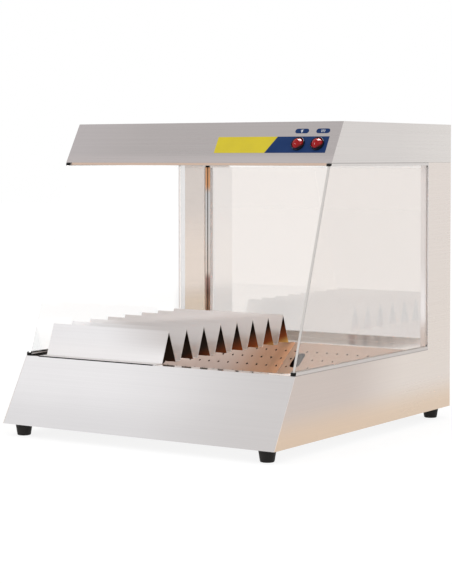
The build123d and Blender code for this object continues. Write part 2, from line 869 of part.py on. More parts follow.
for name, x in switch_xs.items():
    face = hood_face(x)
    axis_point = face.origin - face.z_dir * rocker_axis_depth
    rocking = Plane(origin=axis_point, x_dir=face.y_dir, z_dir=(1, 0, 0))
    with BuildPart() as switch_body:
        with BuildSketch(face):
            Circle(switch_bezel_d / 2)
        extrude(amount=switch_bezel_height)
        rim = switch_body.faces().sort_by(Axis(face.origin, face.z_dir))[-1].edges()
        chamfer(rim, length=switch_bezel_edge)
        with BuildSketch(face):
            Circle(switch_barrel_d / 2)
        extrude(amount=-switch_depth)
        with BuildSketch(face.offset(switch_bezel_height)):
            Circle(mouth_radius)
        extrude(amount=-switch_bezel_height - mouth_depth, mode=Mode.SUBTRACT)
        with BuildSketch(rocking):
            Circle(trunnion_d / 2 + slip_gap)
        extrude(amount=trunnion_end + slip_gap, both=True, mode=Mode.SUBTRACT)
        with BuildSketch(face.offset(-switch_depth)):
            with GridLocations(blade_width, 0, 2, 1):
                Rectangle(blade_thickness, blade_width)
        extrude(amount=-blade_length)
    save(switch_body, f"{name}_switch_body")

    tilt = radians(rocker_wing_angle)
    reach = switch_bezel_d / 2
    wing = reach * tan(tilt)
    rocked = Plane(
        origin=axis_point,
        x_dir=face.y_dir * cos(tilt) - face.z_dir * sin(tilt),
        z_dir=(1, 0, 0),
    )
    belly = Plane(origin=axis_point, x_dir=(1, 0, 0), z_dir=rocked.x_dir)
    with BuildPart() as rocker:
        with BuildSketch(belly):
            Circle(rocker_radius)
            Rectangle(2 * trunnion_end, trunnion_d)
            Rectangle(
                2 * trunnion_end,
                rocker_radius,
                align=(Align.CENTER, Align.MAX),
                mode=Mode.SUBTRACT,
            )
        revolve(axis=Axis(axis_point, (1, 0, 0)))
        with BuildSketch(rocked.offset(-reach)):
            with BuildLine():
                Polyline(
                    (-reach, -rocker_tail),
                    (reach, -rocker_tail),
                    (reach, rocker_valley + wing),
                    (0, rocker_valley),
                    (-reach, rocker_valley + wing),
                    close=True,
                )
            make_face()
        extrude(amount=2 * reach, mode=Mode.INTERSECT)
    save(rocker, f"{name}_rocker")

# ---------------------------------------------------------------- base heater: one bent tube, tails through the pan's right wall
tail_x = pan_half + sheet + heater_tail
heater_path = [(tail_x, heater_ys[0], heater_z)]
for leg in range(heater_legs - 1):
    turn_x = heater_half_length if leg % 2 else -heater_half_length
    heater_path += [(turn_x, heater_ys[leg], heater_z), (turn_x, heater_ys[leg + 1], heater_z)]
heater_path.append((tail_x, heater_ys[-1], heater_z))

with BuildPart() as base_heater:
    with BuildLine():
        FilletPolyline(*heater_path, radius=heater_bend)
    with BuildSketch(Plane(origin=heater_path[0], z_dir=(-1, 0, 0))):
        Circle(heater_d / 2)
    sweep()

save(base_heater, "base_heater")

bracket_top = heater_z - heater_d / 2
bracket_low = pan_floor_z + 2 * sheet
bracket_front = heater_ys[0] - bracket_width
bracket_rear = heater_ys[-1] + bracket_width

with BuildPart() as heater_brackets:
    for x in (-bracket_spacing / 2, bracket_spacing / 2):
        with BuildSketch(side_plane(x - bracket_width / 2)):
            with BuildLine():
                Polyline(
                    (bracket_front - bracket_foot, bracket_low),
                    (bracket_front, bracket_low),
                    (bracket_front, bracket_top),
                    (bracket_rear, bracket_top),
                    (bracket_rear, bracket_low),
                    (bracket_rear + bracket_foot, bracket_low),
                )
                offset(amount=sheet, side=Side.RIGHT)
            make_face()
        extrude(amount=bracket_width)

save(heater_brackets, "heater_brackets")

# ---------------------------------------------------------------- thermal cut-out under the pan
with BuildPart() as thermal_cutout:
    with BuildSketch(Plane.XY.offset(pan_floor_z)):
        with Locations((0, well_mid)):
            Circle(cutout_d / 2)
    extrude(amount=-cutout_height)
    with BuildSketch(Plane.XY.offset(pan_floor_z)):
        with Locations((0, well_mid)):
            SlotOverall(cutout_ear_length, cutout_ear_width)
    extrude(amount=-sheet)
    with BuildSketch(Plane.XY.offset(pan_floor_z - cutout_height / 2)):
        with Locations((0, well_mid)):
            Rectangle(blade_width, cutout_d + 2 * blade_length)
    extrude(amount=-blade_thickness)

save(thermal_cutout, "thermal_cutout")

# ---------------------------------------------------------------- terminal block on the bottom plate, beside the cable bushing
block_length, block_width, block_height = terminal_size
block_y = panel_back - sheet - gland_tail - block_width

with BuildPart() as terminal_block:
    with Locations((gland_x, block_y, base_z + sheet)):
        Box(
            block_length,
            block_width,
            block_height,
            align=(Align.CENTER, Align.CENTER, Align.MIN),
        )
    with BuildSketch(Plane.XY.offset(base_z + sheet + block_height)):
        with Locations((gland_x, block_y)):
            with GridLocations(block_length / terminal_poles, 0, terminal_poles, 1):
                RegularPolygon(terminal_well_d / 2, hole_sides)
    extrude(amount=-terminal_well_depth, mode=Mode.SUBTRACT)

save(terminal_block, "terminal_block")

# ---------------------------------------------------------------- cable bushing in the base rear panel
with BuildPart() as cable_bushing:
    gland_plane = Plane(origin=(gland_x, panel_back, gland_z), x_dir=(1, 0, 0), z_dir=(0, 1, 0))
    with BuildSketch(gland_plane):
        Circle(gland_head_d / 2)
    extrude(amount=gland_head)
    chamfer(cable_bushing.faces().sort_by(Axis.Y)[-1].edges(), length=gland_edge)
    with BuildSketch(gland_plane):
        Circle(gland_body_d / 2 - slip_gap)
    extrude(amount=-sheet - gland_tail)
    with BuildSketch(gland_plane.offset(gland_head)):
        Circle(gland_bore_d / 2)
    extrude(amount=-gland_head - sheet - gland_tail, mode=Mode.SUBTRACT)

save(cable_bushing, "cable_bushing")

# ---------------------------------------------------------------- rubber feet and their screws
foot_corners = {
    "front_left": (-half + foot_inset_x, front + foot_inset_y),
    "front_right": (half - foot_inset_x, front + foot_inset_y),
    "rear_left": (-half + foot_inset_x, back - foot_inset_y),
    "rear_right": (half - foot_inset_x, back - foot_inset_y),
}
foot_screw_d = foot_bore_d - 2 * touch_gap

for corner, (x, y) in foot_corners.items():
    with BuildPart() as foot:
        with Locations((x, y, 0)):
            Cone(
                foot_bottom_d / 2,
                foot_top_d / 2,
                foot_height,
                align=(Align.CENTER, Align.CENTER, Align.MIN),
            )
        with BuildSketch(Plane.XY):
            with Locations((x, y)):
                Circle(foot_recess_d / 2)
        extrude(amount=foot_recess_depth, mode=Mode.SUBTRACT)
        with BuildSketch(Plane.XY):
            with Locations((x, y)):
                Circle(foot_bore_d / 2)
        extrude(amount=foot_height, mode=Mode.SUBTRACT)
    save(foot, f"foot_{corner}")

with BuildPart() as foot_screws:
    for x, y in foot_corners.values():
        with BuildSketch(Plane.XY.offset(foot_recess_depth)):
            with Locations((x, y)):
                RegularPolygon(foot_recess_d / 2 - sheet, hole_sides)
        extrude(amount=-foot_screw_head)
        with BuildSketch(Plane.XY.offset(foot_recess_depth)):
            with Locations((x, y)):
                RegularPolygon(foot_screw_d / 2, hole_sides)
        extrude(amount=base_z + sheet + foot_nut - foot_recess_depth)
        with BuildSketch(Plane.XY.offset(base_z + sheet)):
            with Locations((x, y)):
                RegularPolygon(foot_screw_d, hole_sides)
        extrude(amount=foot_nut)

save(foot_screws, "foot_screws")
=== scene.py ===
"""Visual model of a counter-top chip warmer.

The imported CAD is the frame. This script gives every sheet, pane and fitting its finish, puts
the fine pieces in place (perforations, folded ridges, guard wires, filaments, screw heads and
marks), and sets the object on a pale studio floor. Lengths are in metres.
"""

import json
import logging
import math
from dataclasses import dataclass
from enum import Enum

import bmesh
import bpy
from mathutils import Matrix, Vector

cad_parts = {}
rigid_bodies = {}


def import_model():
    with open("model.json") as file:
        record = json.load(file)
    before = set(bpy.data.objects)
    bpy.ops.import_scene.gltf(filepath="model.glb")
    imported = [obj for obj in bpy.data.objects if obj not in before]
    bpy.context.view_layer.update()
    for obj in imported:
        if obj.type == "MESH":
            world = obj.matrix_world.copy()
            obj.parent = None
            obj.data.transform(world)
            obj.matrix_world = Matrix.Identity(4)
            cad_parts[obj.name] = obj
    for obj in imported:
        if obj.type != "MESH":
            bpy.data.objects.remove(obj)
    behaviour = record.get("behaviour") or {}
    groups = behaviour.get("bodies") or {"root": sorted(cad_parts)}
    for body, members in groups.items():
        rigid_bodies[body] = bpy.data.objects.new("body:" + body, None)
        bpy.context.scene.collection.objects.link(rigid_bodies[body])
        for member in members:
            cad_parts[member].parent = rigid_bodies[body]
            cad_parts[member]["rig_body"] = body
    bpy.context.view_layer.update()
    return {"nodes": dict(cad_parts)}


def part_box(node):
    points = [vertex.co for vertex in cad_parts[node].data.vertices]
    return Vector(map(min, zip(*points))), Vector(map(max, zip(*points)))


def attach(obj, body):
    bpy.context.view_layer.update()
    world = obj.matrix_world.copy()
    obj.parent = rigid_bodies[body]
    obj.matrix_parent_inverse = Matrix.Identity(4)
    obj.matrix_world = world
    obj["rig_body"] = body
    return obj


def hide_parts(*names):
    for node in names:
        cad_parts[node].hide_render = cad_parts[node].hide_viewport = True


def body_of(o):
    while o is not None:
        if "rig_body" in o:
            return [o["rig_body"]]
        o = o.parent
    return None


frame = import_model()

LOG = logging.getLogger("chip_warmer")
MM = 0.001
WELD = 1e-6
HANDS = (("left", -1), ("right", 1))
SQUARE = ((-1, -1), (1, -1), (1, 1), (-1, 1))
UP, DOWN, RIGHT = (0, 0, 1), (0, 0, -1), (1, 0, 0)

Colour = tuple[float, float, float]
Triple = tuple[float, float, float]
Point = tuple[float, float]
Material = bpy.types.Material
Mesh = bpy.types.Mesh
Piece = bpy.types.Object
Shell = bmesh.types.BMesh
Socket = bpy.types.NodeSocket
Level = Socket | float
Tone = Socket | Colour


def srgb(red: int, green: int, blue: int) -> Colour:
    """Turn an 8-bit display colour into the linear colour that shaders take.

    Args:
        red: Red, 0 to 255.
        green: Green, 0 to 255.
        blue: Blue, 0 to 255.

    Returns:
        The linear colour.
    """

    def linear(level: int) -> float:
        """One channel, display to linear."""
        share = level / 255
        return share / 12.92 if share <= 0.04045 else ((share + 0.055) / 1.055) ** 2.4

    return linear(red), linear(green), linear(blue)


def stand(name: str, data: bpy.types.ID | None) -> Piece:
    """Put a new object in the scene.

    Args:
        name: Its name.
        data: Its mesh, lamp or camera.

    Returns:
        The object.
    """
    piece = bpy.data.objects.new(name, data)
    bpy.context.collection.objects.link(piece)
    return piece


# ---- node trees


class Board:
    """A shader or geometry node tree under construction."""

    def __init__(self, tree: bpy.types.NodeTree) -> None:
        """Take the tree that nodes are added to."""
        self.tree = tree

    def add(self, kind: str, inputs: dict | None = None, **settings: object) -> bpy.types.Node:
        """Add one node.

        Args:
            kind: The node's type name.
            inputs: Values or sockets for its inputs, by name or number.
            **settings: The node's own properties.

        Returns:
            The new node.
        """
        node = self.tree.nodes.new(kind)
        for name, value in settings.items():
            setattr(node, name, value)
        for name, value in (inputs or {}).items():
            if isinstance(value, Socket):
                self.tree.links.new(value, node.inputs[name])
            else:
                node.inputs[name].default_value = value
        return node

    def out(self, kind: str, inputs: dict | None = None, **settings: object) -> Socket:
        """Add one node and take its first output."""
        return self.add(kind, inputs, **settings).outputs[0]

    def maths(self, operation: str, *values: Level) -> Socket:
        """The result of one Math node on up to three values or sockets."""
        node = self.out("ShaderNodeMath", dict(enumerate(values)), operation=operation)
        return node


class ShaderBoard(Board):
    """A material's node tree, with the sums that several finishes share."""

    def __init__(self, name: str) -> None:
        """Make the empty material that the nodes belong to.

        Args:
            name: Its name.
        """
        self.material = bpy.data.materials.new(name)
        self.material.use_nodes = True
        super().__init__(self.material.node_tree)
        self.tree.nodes.clear()
        self.output = self.add("ShaderNodeOutputMaterial")
        self.place = self.add("ShaderNodeTexCoord")

    def finish(self, shader: Socket) -> Material:
        """Join the shader to the output and hand the material over."""
        self.tree.links.new(shader, self.output.inputs["Surface"])
        return self.material

    def ramp(self, value: Level, low: float, high: float, first: float = 0.0, last: float = 1.0) -> Socket:
        """Map a value smoothly from one range to another, held at both ends.

        Args:
            value: The value.
            low: Where the first range starts.
            high: Where it ends.
            first: Result at its start.
            last: Result at its end.

        Returns:
            The result.
        """
        node = self.add(
            "ShaderNodeMapRange",
            {"Value": value, "From Min": low, "From Max": high, "To Min": first, "To Max": last},
            interpolation_type="SMOOTHSTEP",
        )
        return node.outputs["Result"]

    def blend(self, share: Level, first: Tone, second: Tone, mode: str = "MIX") -> Socket:
        """Mix two colours.

        Args:
            share: Share of the second colour.
            first: First colour.
            second: Second colour.
            mode: Way of mixing.

        Returns:
            The mixed colour.
        """
        node = self.add("ShaderNodeMix", data_type="RGBA", blend_type=mode)
        for name, value in (("Factor_Float", share), ("A_Color", first), ("B_Color", second)):
            socket = next(s for s in node.inputs if s.identifier == name)
            if isinstance(value, Socket):
                self.tree.links.new(value, socket)
            elif name == "Factor_Float":
                socket.default_value = value
            else:
                socket.default_value = (*value, 1.0)
        return next(s for s in node.outputs if s.identifier == "Result_Color")

    def noise(
        self, scale: float, detail: float = 3.0, vector: Socket | None = None, roughness: float = 0.55
    ) -> Socket:
        """Noise on the object's own coordinates, or on another vector.

        Args:
            scale: Its fineness, per metre.
            detail: Number of finer layers.
            vector: Coordinates to use instead of the object's own.
            roughness: Strength of the finer layers.

        Returns:
            The noise, about 0 to 1.
        """
        node = self.add(
            "ShaderNodeTexNoise",
            {
                "Vector": vector or self.place.outputs["Object"],
                "Scale": scale,
                "Detail": detail,
                "Roughness": roughness,
            },
        )
        return node.outputs["Fac"]

    def travel(self, along: Triple) -> Socket:
        """Measure how far a point lies along a direction.

        Args:
            along: The direction.

        Returns:
            The distance.
        """
        node = self.add(
            "ShaderNodeVectorMath", {0: self.place.outputs["Object"], 1: along}, operation="DOT_PRODUCT"
        )
        return node.outputs["Value"]


FLOAT_IN = "NodeSocketFloat"
INT_IN = "NodeSocketInt"
VECTOR_IN = "NodeSocketVector"
OBJECT_IN = "NodeSocketObject"
MATERIAL_IN = "NodeSocketMaterial"


class GeometryBoard(Board):
    """A Geometry Nodes group with named inputs, used once to make a plain mesh."""

    def __init__(self, name: str, sockets: dict[str, str]) -> None:
        """Make the group.

        Args:
            name: The group's name.
            sockets: Socket type of each named input.
        """
        super().__init__(bpy.data.node_groups.new(name, "GeometryNodeTree"))
        self.keys = {}
        for label, kind in sockets.items():
            made = self.tree.interface.new_socket(label, in_out="INPUT", socket_type=kind)
            self.keys[label] = made.identifier
        self.tree.interface.new_socket("Geometry", in_out="OUTPUT", socket_type="NodeSocketGeometry")
        self.given = self.add("NodeGroupInput").outputs
        self.result = self.add("NodeGroupOutput")

    def moved(self, geometry: Socket, by: Socket) -> Socket:
        """Geometry moved by a vector."""
        return self.out("GeometryNodeTransform", {"Geometry": geometry, "Translation": by})

    def close(self, geometry: Socket, material: Socket) -> None:
        """End the group in Realize Instances and Set Material.

        Args:
            geometry: The finished shape.
            material: Its finish.
        """
        real = self.out("GeometryNodeRealizeInstances", {"Geometry": geometry})
        dressed = self.out("GeometryNodeSetMaterial", {"Geometry": real, "Material": material})
        self.tree.links.new(dressed, self.result.inputs[0])

    def make(self, name: str, values: dict) -> Piece:
        """Run the group once on an empty object.

        Args:
            name: Name of the new piece.
            values: Value of each named input.

        Returns:
            A plain mesh object with no modifier.
        """
        bench = stand(f"{name}_bench", bpy.data.meshes.new(f"{name}_bench"))
        modifier = bench.modifiers.new("nodes", "NODES")
        modifier.node_group = self.tree
        for label, value in values.items():
            modifier[self.keys[label]] = value
        seen = bench.evaluated_get(bpy.context.evaluated_depsgraph_get())
        mesh = bpy.data.meshes.new_from_object(seen)
        mesh.name = name
        bpy.data.objects.remove(bench)
        return stand(name, mesh)


# ---- finishes

FACING_SPAN = (0.30, 0.62)
GRAIN_FINE = 420.0
GRAIN_LONG = 2.0
GRAIN_SHADE = 0.05
GRAIN_GLOSS = 0.04
CLOUD_SHADE = 0.012
CLOUD_GLOSS = 0.02


class Facing(Enum):
    """A direction that part of a sheet faces, as an axis and a sign; 0 takes both signs."""

    SIDE = ("X", 0)
    FRONT = ("Y", -1)
    BACK = ("Y", 1)
    TOP = ("Z", 1)
    UNDER = ("Z", -1)


SIDE, FRONT, BACK, TOP, UNDER = Facing


@dataclass(frozen=True)
class PaintedDrift:
    """A slow change of colour along one direction: painted light, shade and reflection.

    Attributes:
        facing: The faces it shows on, or None where it shows on all.
        along: Direction of the change.
        start: Distance along it where the change begins.
        end: Distance along it where the change is complete.
        colour: Colour at the end.
        amount: Share of that colour at the end.
    """

    facing: Facing | None
    along: Triple
    start: float
    end: float
    colour: Colour
    amount: float = 1.0


@dataclass(frozen=True)
class BrushedSteel:
    """Stainless sheet with a drawn grain, and painted light and shade: a colour for each way a face looks,
    and slow changes along directions.

    Attributes:
        name: The material's name.
        base: Colour of the faces that no tone names.
        painted_facing_tones: Colour by facing, painted light and shade.
        painted_drifts: Slow changes of colour, painted light, shade and reflection.
        roughness: Mean roughness.
        grain: Strength of the streaks, from 0 to 1.
        metallic: Share of metal in the shading; less where grease and heat have dulled it.
    """

    name: str
    base: Colour
    painted_facing_tones: tuple[tuple[Facing, Colour], ...] = ()
    painted_drifts: tuple[PaintedDrift, ...] = ()
    roughness: float = 0.3
    grain: float = 1.0
    metallic: float = 1.0

    def mask(self, board: ShaderBoard, axes: dict, facing: Facing) -> Socket:
        """How far a face looks one way, 0 to 1, from its own normal.

        Args:
            board: The node tree.
            axes: The normal's three parts, by axis.
            facing: The direction.

        Returns:
            The mask.
        """
        axis, sign = facing.value
        value = board.maths("MULTIPLY", axes[axis], sign) if sign else board.maths("ABSOLUTE", axes[axis])
        return board.ramp(value, *FACING_SPAN)

    def material(self) -> Material:
        """Build the shader.

        Returns:
            The material.
        """
        board = ShaderBoard(self.name)
        split = board.add("ShaderNodeSeparateXYZ", {0: board.place.outputs["Normal"]})
        axes = {axis: split.outputs[axis] for axis in "XYZ"}
        masks = {facing: self.mask(board, axes, facing) for facing in Facing}
        colour = board.blend(0.0, self.base, self.base)
        # Painted light and shade: the colour of each facing, then the slow changes along directions.
        for facing, tone in self.painted_facing_tones:
            colour = board.blend(masks[facing], colour, tone)
        for drift in self.painted_drifts:
            share = board.ramp(board.travel(drift.along), drift.start, drift.end, 0, drift.amount)
            share = board.maths("MULTIPLY", share, masks[drift.facing])
            colour = board.blend(share, colour, drift.colour)
        grain = board.add("ShaderNodeMix", data_type="VECTOR")
        board.tree.links.new(masks[SIDE], grain.inputs[0])
        grain.inputs[4].default_value = (GRAIN_LONG, GRAIN_FINE, GRAIN_FINE)
        grain.inputs[5].default_value = (GRAIN_FINE, GRAIN_LONG, GRAIN_FINE)
        stretched = board.out(
            "ShaderNodeVectorMath",
            {0: board.place.outputs["Object"], 1: grain.outputs[1]},
            operation="MULTIPLY",
        )
        fine = board.noise(1.0, 5.0, stretched, 0.7)
        cloud = board.noise(5.0, 2.0)
        swing = GRAIN_SHADE * self.grain
        shine = GRAIN_GLOSS * self.grain
        shade = board.maths(
            "ADD",
            board.ramp(fine, 0.25, 0.75, 1 - swing, 1 + swing * 0.4),
            board.ramp(cloud, 0.3, 0.7, -CLOUD_SHADE, CLOUD_SHADE),
        )
        tint = board.out("ShaderNodeCombineColor", {0: shade, 1: shade, 2: shade})
        colour = board.blend(1.0, colour, tint, "MULTIPLY")
        rough = board.maths(
            "ADD",
            board.ramp(fine, 0.2, 0.8, self.roughness - shine, self.roughness + shine),
            board.ramp(cloud, 0.3, 0.7, -CLOUD_GLOSS, CLOUD_GLOSS),
        )
        bump = board.out(
            "ShaderNodeBump",
            {"Strength": 0.015 * self.grain, "Distance": 0.0001, "Height": fine},
        )
        shader = board.out(
            "ShaderNodeBsdfPrincipled",
            {"Base Color": colour, "Metallic": self.metallic, "Roughness": rough, "Normal": bump},
        )
        return board.finish(shader)


@dataclass(frozen=True)
class ClearGlass:
    """Toughened glass that lets lamp light and shadows through.

    Attributes:
        name: The material's name.
        tint: Colour of light that passes.
        ior: Index of refraction.
        sheen: Colour of what it mirrors.
        smear: Roughness of the faint wipe marks.
    """

    name: str
    tint: Colour
    ior: float = 1.5
    sheen: Colour = (1.0, 1.0, 1.0)
    smear: float = 0.015

    def material(self) -> Material:
        """Build the shader.

        Returns:
            The material.
        """
        board = ShaderBoard(self.name)
        rough = board.ramp(board.noise(9.0, 2.0), 0.45, 0.75, 0.0, self.smear)
        clear = board.out(
            "ShaderNodeBsdfPrincipled",
            {
                "Base Color": (*self.tint, 1.0),
                "Roughness": rough,
                "IOR": self.ior,
                "Specular Tint": (*self.sheen, 1.0),
                "Transmission Weight": 1.0,
            },
        )
        shadow = board.out("ShaderNodeBsdfTransparent", {"Color": (*self.tint, 1.0)})
        path = board.add("ShaderNodeLightPath")
        mixed = board.out("ShaderNodeMixShader", {0: path.outputs["Is Shadow Ray"], 1: clear, 2: shadow})
        return board.finish(mixed)


@dataclass(frozen=True)
class GlassEdge:
    """Ground and polished rim of a pane, with a glow that is painted light.

    Attributes:
        name: The material's name.
        colour: Colour of the ground surface.
        second: Colour of the fine ground marks.
        lit: Strength of its glow, painted light.
    """

    name: str
    colour: Colour
    second: Colour
    lit: float = 0.0

    def material(self) -> Material:
        """Build the shader.

        Returns:
            The material.
        """
        board = ShaderBoard(self.name)
        fine = board.noise(900.0, 3.0)
        ground = board.out(
            "ShaderNodeBsdfPrincipled",
            {
                "Base Color": board.blend(board.ramp(fine, 0.3, 0.7), self.colour, self.second),
                "Roughness": board.ramp(fine, 0.3, 0.7, 0.12, 0.22),
                "Emission Color": (*self.colour, 1.0),
                "Emission Strength": self.lit,
            },
        )
        return board.finish(ground)


@dataclass(frozen=True)
class Moulding:
    """Moulded plastic, rubber, ceramic or film.

    Attributes:
        name: The material's name.
        colour: Main colour.
        second: Colour of the faint mottling.
        roughness: Mean roughness.
        texture: Size of the surface texture, per metre.
        relief: Strength of the surface texture.
        coat: Gloss over the colour, 0 to 1.
        gloss: Strength of the mirror image in the surface, 0 to 1.
        lit: Strength of light from within.
        glow: Colour of that light.
        painted_shade: Change of colour across the piece, painted shade.
    """

    name: str
    colour: Colour
    second: Colour
    roughness: float = 0.4
    texture: float = 900.0
    relief: float = 0.1
    coat: float = 0.0
    gloss: float = 0.5
    lit: float = 0.0
    glow: Colour = (1.0, 0.1, 0.05)
    painted_shade: PaintedDrift | None = None

    def material(self) -> Material:
        """Build the shader.

        Returns:
            The material.
        """
        board = ShaderBoard(self.name)
        fine = board.noise(self.texture, 4.0)
        broad = board.noise(self.texture / 12, 2.0)
        colour = board.blend(board.ramp(broad, 0.35, 0.7), self.colour, self.second)
        # Painted shade: the colour darkens across the piece.
        if self.painted_shade:
            share = board.ramp(board.travel(self.painted_shade.along), self.painted_shade.start, self.painted_shade.end)
            colour = board.blend(share, colour, self.painted_shade.colour)
        rough = board.ramp(fine, 0.3, 0.7, self.roughness * 0.85, self.roughness * 1.15)
        bump = board.out("ShaderNodeBump", {"Strength": self.relief, "Distance": 0.0003, "Height": fine})
        shader = board.out(
            "ShaderNodeBsdfPrincipled",
            {
                "Base Color": colour,
                "Roughness": rough,
                "Normal": bump,
                "Coat Weight": self.coat,
                "Specular IOR Level": self.gloss,
                "Emission Color": (*self.glow, 1.0),
                "Emission Strength": self.lit,
            },
        )
        return board.finish(shader)


@dataclass(frozen=True)
class OxidisedMetal:
    """A heated metal sheath or plated wire, with a mottled film.

    Attributes:
        name: The material's name.
        colour: Main colour.
        film: Colour of the heat film.
        roughness: Mean roughness.
    """

    name: str
    colour: Colour
    film: Colour
    roughness: float = 0.35

    def material(self) -> Material:
        """Build the shader.

        Returns:
            The material.
        """
        board = ShaderBoard(self.name)
        blotch = board.noise(60.0, 4.0)
        fine = board.noise(1500.0, 3.0)
        colour = board.blend(board.ramp(blotch, 0.4, 0.65), self.colour, self.film)
        rough = board.ramp(blotch, 0.3, 0.7, self.roughness * 0.7, self.roughness * 1.4)
        bump = board.out("ShaderNodeBump", {"Strength": 0.08, "Distance": 0.0002, "Height": fine})
        shader = board.out(
            "ShaderNodeBsdfPrincipled",
            {"Base Color": colour, "Metallic": 1.0, "Roughness": rough, "Normal": bump},
        )
        return board.finish(shader)


def silicone(
    name: str, colour: Colour, second: Colour, lit: float = 0.0, glow: Colour = Moulding.glow
) -> Material:
    """Finish of a silicone seal; where it glows, the glow is painted light."""
    return Moulding(name, colour, second, 0.5, 700.0, 0.15, lit=lit, glow=glow).material()


def dark_rubber_and_shadow(name: str, colour: Colour) -> Material:
    """Finish of a thin dark rubber trim, also of dark strips of painted shade."""
    return Moulding(name, colour, srgb(30, 29, 28), 0.6, 700.0, 0.15, gloss=0.15).material()


# ---- mesh helpers


def place(mesh: Mesh, name: str, body: str, stands_for: tuple = ()) -> Piece:
    """Put a finished mesh in the scene as one piece of the object.

    Args:
        mesh: The mesh, in the object's own frame.
        name: Name of the piece.
        body: Body that it rides on.
        stands_for: CAD nodes that it replaces.

    Returns:
        The new object.
    """
    return adopt(stand(name, mesh), body, stands_for)


def adopt(piece: Piece, body: str, stands_for: tuple = ()) -> Piece:
    """Let an object ride on a body and stand for CAD nodes, and report it.

    Args:
        piece: The object.
        body: Body that it rides on.
        stands_for: CAD nodes that it replaces.

    Returns:
        The same object.
    """
    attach(piece, body)
    if stands_for:
        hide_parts(*stands_for)
    LOG.info("%s rides on %s with %d faces", piece.name, body, len(piece.data.polygons))
    return piece


def shade(mesh: Mesh, crease: float = 35.0) -> None:
    """Shade a mesh smooth, sharp at edges over the crease angle in degrees."""
    mesh.shade_smooth()
    mesh.set_sharp_from_angle(angle=math.radians(crease))


def bevelled(piece: Piece, width: float) -> Piece:
    """Round the sharp edges of a piece with a live bevel.

    Args:
        piece: The piece.
        width: Width of the bevel.

    Returns:
        The same piece.
    """
    bevel = piece.modifiers.new("edges", "BEVEL")
    bevel.width = width
    bevel.segments = 2
    bevel.limit_method = "ANGLE"
    bevel.angle_limit = math.radians(30)
    bevel.use_clamp_overlap = True
    bevel.harden_normals = True
    return piece


def folded_wall(piece: Piece, sheet: float) -> bpy.types.Modifier:
    """Give a folded surface the thickness of its sheet, behind it.

    Args:
        piece: The surface.
        sheet: Thickness.

    Returns:
        The live modifier.
    """
    wall = piece.modifiers.new("sheet", "SOLIDIFY")
    wall.thickness = sheet
    wall.offset = -1.0
    wall.use_even_offset = True
    return wall


def face_up(shell: Shell) -> None:
    """Turn every face of an open sheet upwards.

    Args:
        shell: The sheet.
    """
    for face in shell.faces:
        face.normal_update()
        if face.normal.z < 0:
            face.normal_flip()


def dress(node: str, finish: Material) -> None:
    """Give a CAD node its finish.

    Args:
        node: The node.
        finish: Its material.
    """
    mesh = frame["nodes"][node].data
    mesh.materials.clear()
    mesh.materials.append(finish)


def softened(node: str, finish: Material, edge: float = 0.4 * MM) -> Piece:
    """Stand a copy of a CAD node in its place, with its edges rounded as a pressed sheet's are.

    Args:
        node: The CAD node.
        finish: Its material.
        edge: Radius of the rounding.

    Returns:
        The copy.
    """
    source = frame["nodes"][node]
    mesh = source.data.copy()
    mesh.name = f"{node}_skin"
    shell = bmesh.new()
    shell.from_mesh(mesh)
    bmesh.ops.remove_doubles(shell, verts=shell.verts, dist=WELD)
    bmesh.ops.dissolve_limit(shell, angle_limit=math.radians(0.6), verts=shell.verts, edges=shell.edges)
    shell.to_mesh(mesh)
    shell.free()
    mesh.materials.clear()
    mesh.materials.append(finish)
    shade(mesh)
    piece = place(mesh, f"{node}_skin", body_of(source)[0], (node,))
    return bevelled(piece, edge)


def prism(outline: list[Vector], depth: Vector, shell: Shell) -> None:
    """Add a closed prism to a mesh.

    Args:
        outline: Corners of one end, counter-clockwise seen from outside.
        depth: From that end to the other.
        shell: The mesh that it is added to.
    """
    near = [shell.verts.new(point) for point in outline]
    far = [shell.verts.new(point + depth) for point in outline]
    shell.faces.new(near)
    shell.faces.new(far[::-1])
    for here, there in zip(range(len(near)), [*range(1, len(near)), 0]):
        shell.faces.new((near[here], far[here], far[there], near[there]))


def mesh_from(shell: Shell, name: str, finish: Material) -> Mesh:
    """Turn a working mesh into a mesh with one finish and outward faces.

    Args:
        shell: The working mesh, which is freed.
        name: Name of the mesh.
        finish: Its material.

    Returns:
        The mesh.
    """
    bmesh.ops.recalc_face_normals(shell, faces=shell.faces)
    mesh = bpy.data.meshes.new(name)
    shell.to_mesh(mesh)
    shell.free()
    mesh.materials.append(finish)
    return mesh


def block(low: Vector, high: Vector, shell: Shell) -> None:
    """Add a straight-sided block to a mesh.

    Args:
        low: Its lowest corner.
        high: Its highest corner.
        shell: The mesh.
    """
    corners = ((low.x, low.y), (low.x, high.y), (high.x, high.y), (high.x, low.y))
    foot = [Vector((x, y, low.z)) for x, y in corners]
    prism(foot, Vector((0.0, 0.0, high.z - low.z)), shell)


def slide(piece: Piece, axis: int, old: float, new: float) -> None:
    """Move the points at one distance from the object's middle plane to another, on both hands.

    Args:
        piece: The piece.
        axis: Number of the axis across that plane.
        old: Their distance.
        new: Their new distance.
    """
    reach = 0.05 * MM
    for vertex in piece.data.vertices:
        if abs(abs(vertex.co[axis]) - old) < reach:
            vertex.co[axis] = math.copysign(new, vertex.co[axis])


def lathe(profile: list[Point], steps: int, name: str, finish: Material) -> Mesh:
    """Turn a profile about Z.

    Args:
        profile: Radius and height of each point; the ends lie on the axis.
        steps: Points round the axis.
        name: Name of the mesh.
        finish: Its material.

    Returns:
        A closed mesh.
    """
    shell = bmesh.new()
    turns = [2 * math.pi * step / steps for step in range(steps)]
    rings = []
    for radius, height in profile:
        if radius < WELD:
            rings.append([shell.verts.new((0, 0, height))])
            continue
        ring = [(radius * math.cos(turn), radius * math.sin(turn), height) for turn in turns]
        rings.append([shell.verts.new(point) for point in ring])
    for low, high in zip(rings, rings[1:]):
        for step in range(steps):
            after = (step + 1) % steps
            corners = [
                low[step % len(low)],
                low[after % len(low)],
                high[after % len(high)],
                high[step % len(high)],
            ]
            shell.faces.new(list(dict.fromkeys(corners)))
    mesh = mesh_from(shell, name, finish)
    shade(mesh)
    return mesh


# ---- casing


